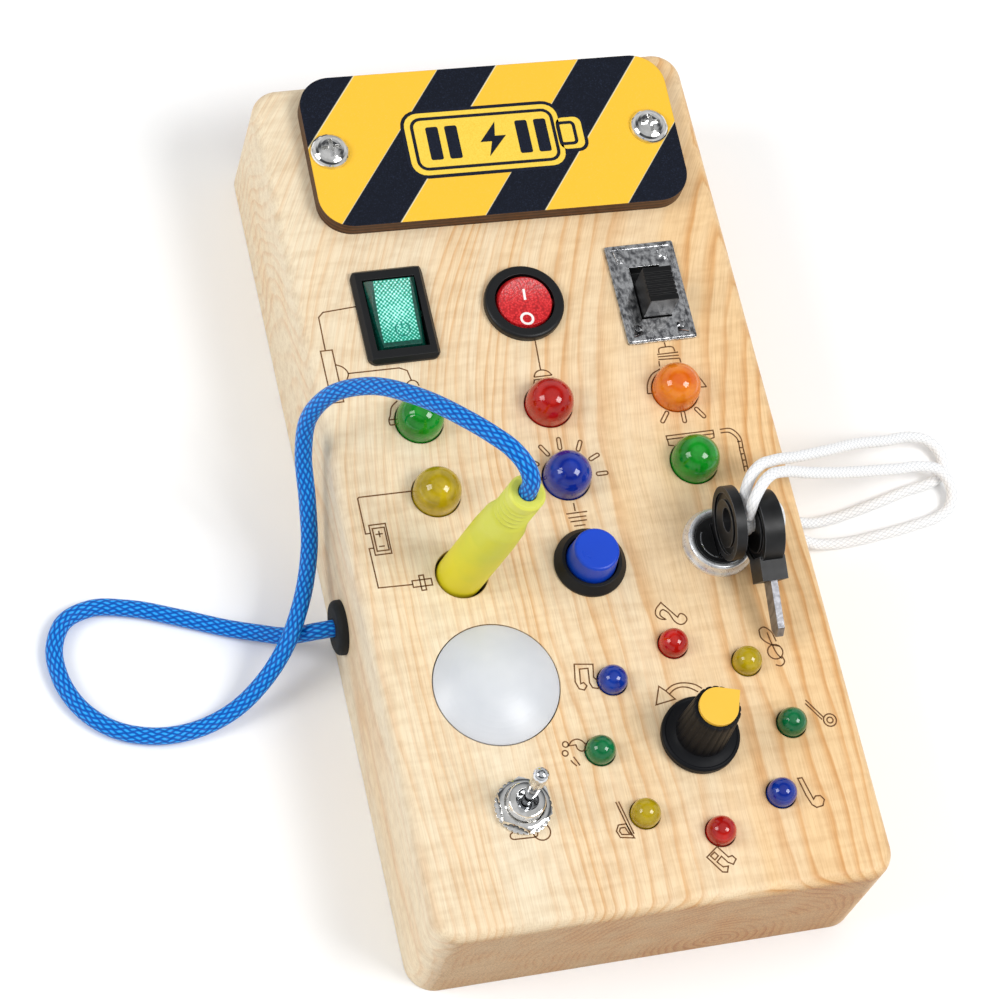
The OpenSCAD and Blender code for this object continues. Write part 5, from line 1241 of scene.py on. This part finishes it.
burntLoops = {
    "greenLampLines": [box(-56.2, 41.3, -53.1, 26.3)],
    "blueLampLines": [capsule(first, second, 0.5) for first, second in rays],
    "batteryLines": [
        box(-53.8, -8.7, -49.5, -17), box(-53.1, -9.7, -50, -16), box(-46, -25.2, -41, -27),
        box(-44, -24, -42.8, -28.1)],
    "greenPipeLines": [box(29.2, 5.7, 42.1, 4.7)],
    "turnArrowLines": [[(8.6, -67.1), (10.5, -62.3), (12, -63.8), (12.75, -64.8), (13.9, -66.3)]],
    "toggleLines": [capsule((-35.2, -95.5), (-30, -95.7), 0.9), circle(-28, -95.5, 2.2)],
    "musicLines": [
        curved((16.5, -40), (14.6, -42), (14.4, -43.2), (15, -44.2), (16.6, -44.7),
               (15.5, -43.4), (15.8, -42.4), (16.5, -42), (17.4, -42.6), (19.2, -46),
               (20, -46.6), (21.2, -46.5), (22.2, -45.4), (21.8, -44.2), (20.8, -43.7),
               (19.9, -44.6)),
        [(-9.75, -53.3), (-10.6, -58), (-10, -60), (-8.75, -60.5), (-7.85, -59.5),
         (-8.5, -58.5), (-9.3, -58.7), (-8.75, -54.8), (-6.5, -54.9), (-7, -58.8),
         (-6.5, -60.2), (-5.2, -60.6), (-4.1, -59.5), (-5.6, -57.5), (-5, -54)],
        circle(-16.9, -74, 0.75, 12), circle(-17.5, -76.3, 0.75, 12),
        curved((-16.25, -74.5), (-15, -73.3), (-13.5, -73.1), (-12.25, -74), (-11.75, -75.3),
               (-13, -76.4), (-14, -75.8), (-14.3, -74.5)),
        circle(52.5, -77.75, 1.7), circle(52.5, -77.75, 0.8, 12), circle(43, -57.5, 2.0),
        [(40.1, -91.75), (41.1, -96.5), (42, -99.1), (43, -100), (44.75, -99.75),
         (45.5, -98.25), (44.75, -97.1), (43.5, -97), (42.75, -97.75), (41.25, -91.75)],
        [(-6.5, -96.75), (-8.5, -96.75), (-9.35, -98.25), (-8.75, -100), (-5.25, -100.65)],
        [(-7, -97.6), (-8.2, -97.6), (-8.6, -98.4), (-8.2, -99.3), (-6.2, -99.6)],
        [(15, -106.1), (11.75, -108.4), (14.75, -112.75), (16, -113), (16.6, -111.5),
         (15.25, -111.5), (14, -110), (15.5, -108.75), (16.75, -110.5), (18, -111.25),
         (19, -110), (18.25, -109), (17.2, -109.2)],
        [(12.75, -108.25), (14, -107.4), (14.75, -108.5), (13.6, -109.4)]],
}


def makeBurntLines():
    # wood charred by a laser: matt brown, soot in the deeper spots; the lines are 0.3 mm wide
    # and drawn slightly wider to show
    mottled("laserCharredPine", {"Roughness": 0.85, "IOR": 1.45},
            0.8, [(0.3, burnt["char"]), (0.65, burnt["brown"])], 0.8, 0.03)
    for name in sorted(set(burntLines) | set(burntLoops)):
        piece = addMarks(name, lambda x, y: (x, y, burnt["face"] + burnt["lift"]),
                         burnt["width"], burntLines.get(name, ()), burntLoops.get(name, ()))
        fit(piece, "laserCharredPine", "root", "pine")


makeBurntLines()
print("burnt lines made")
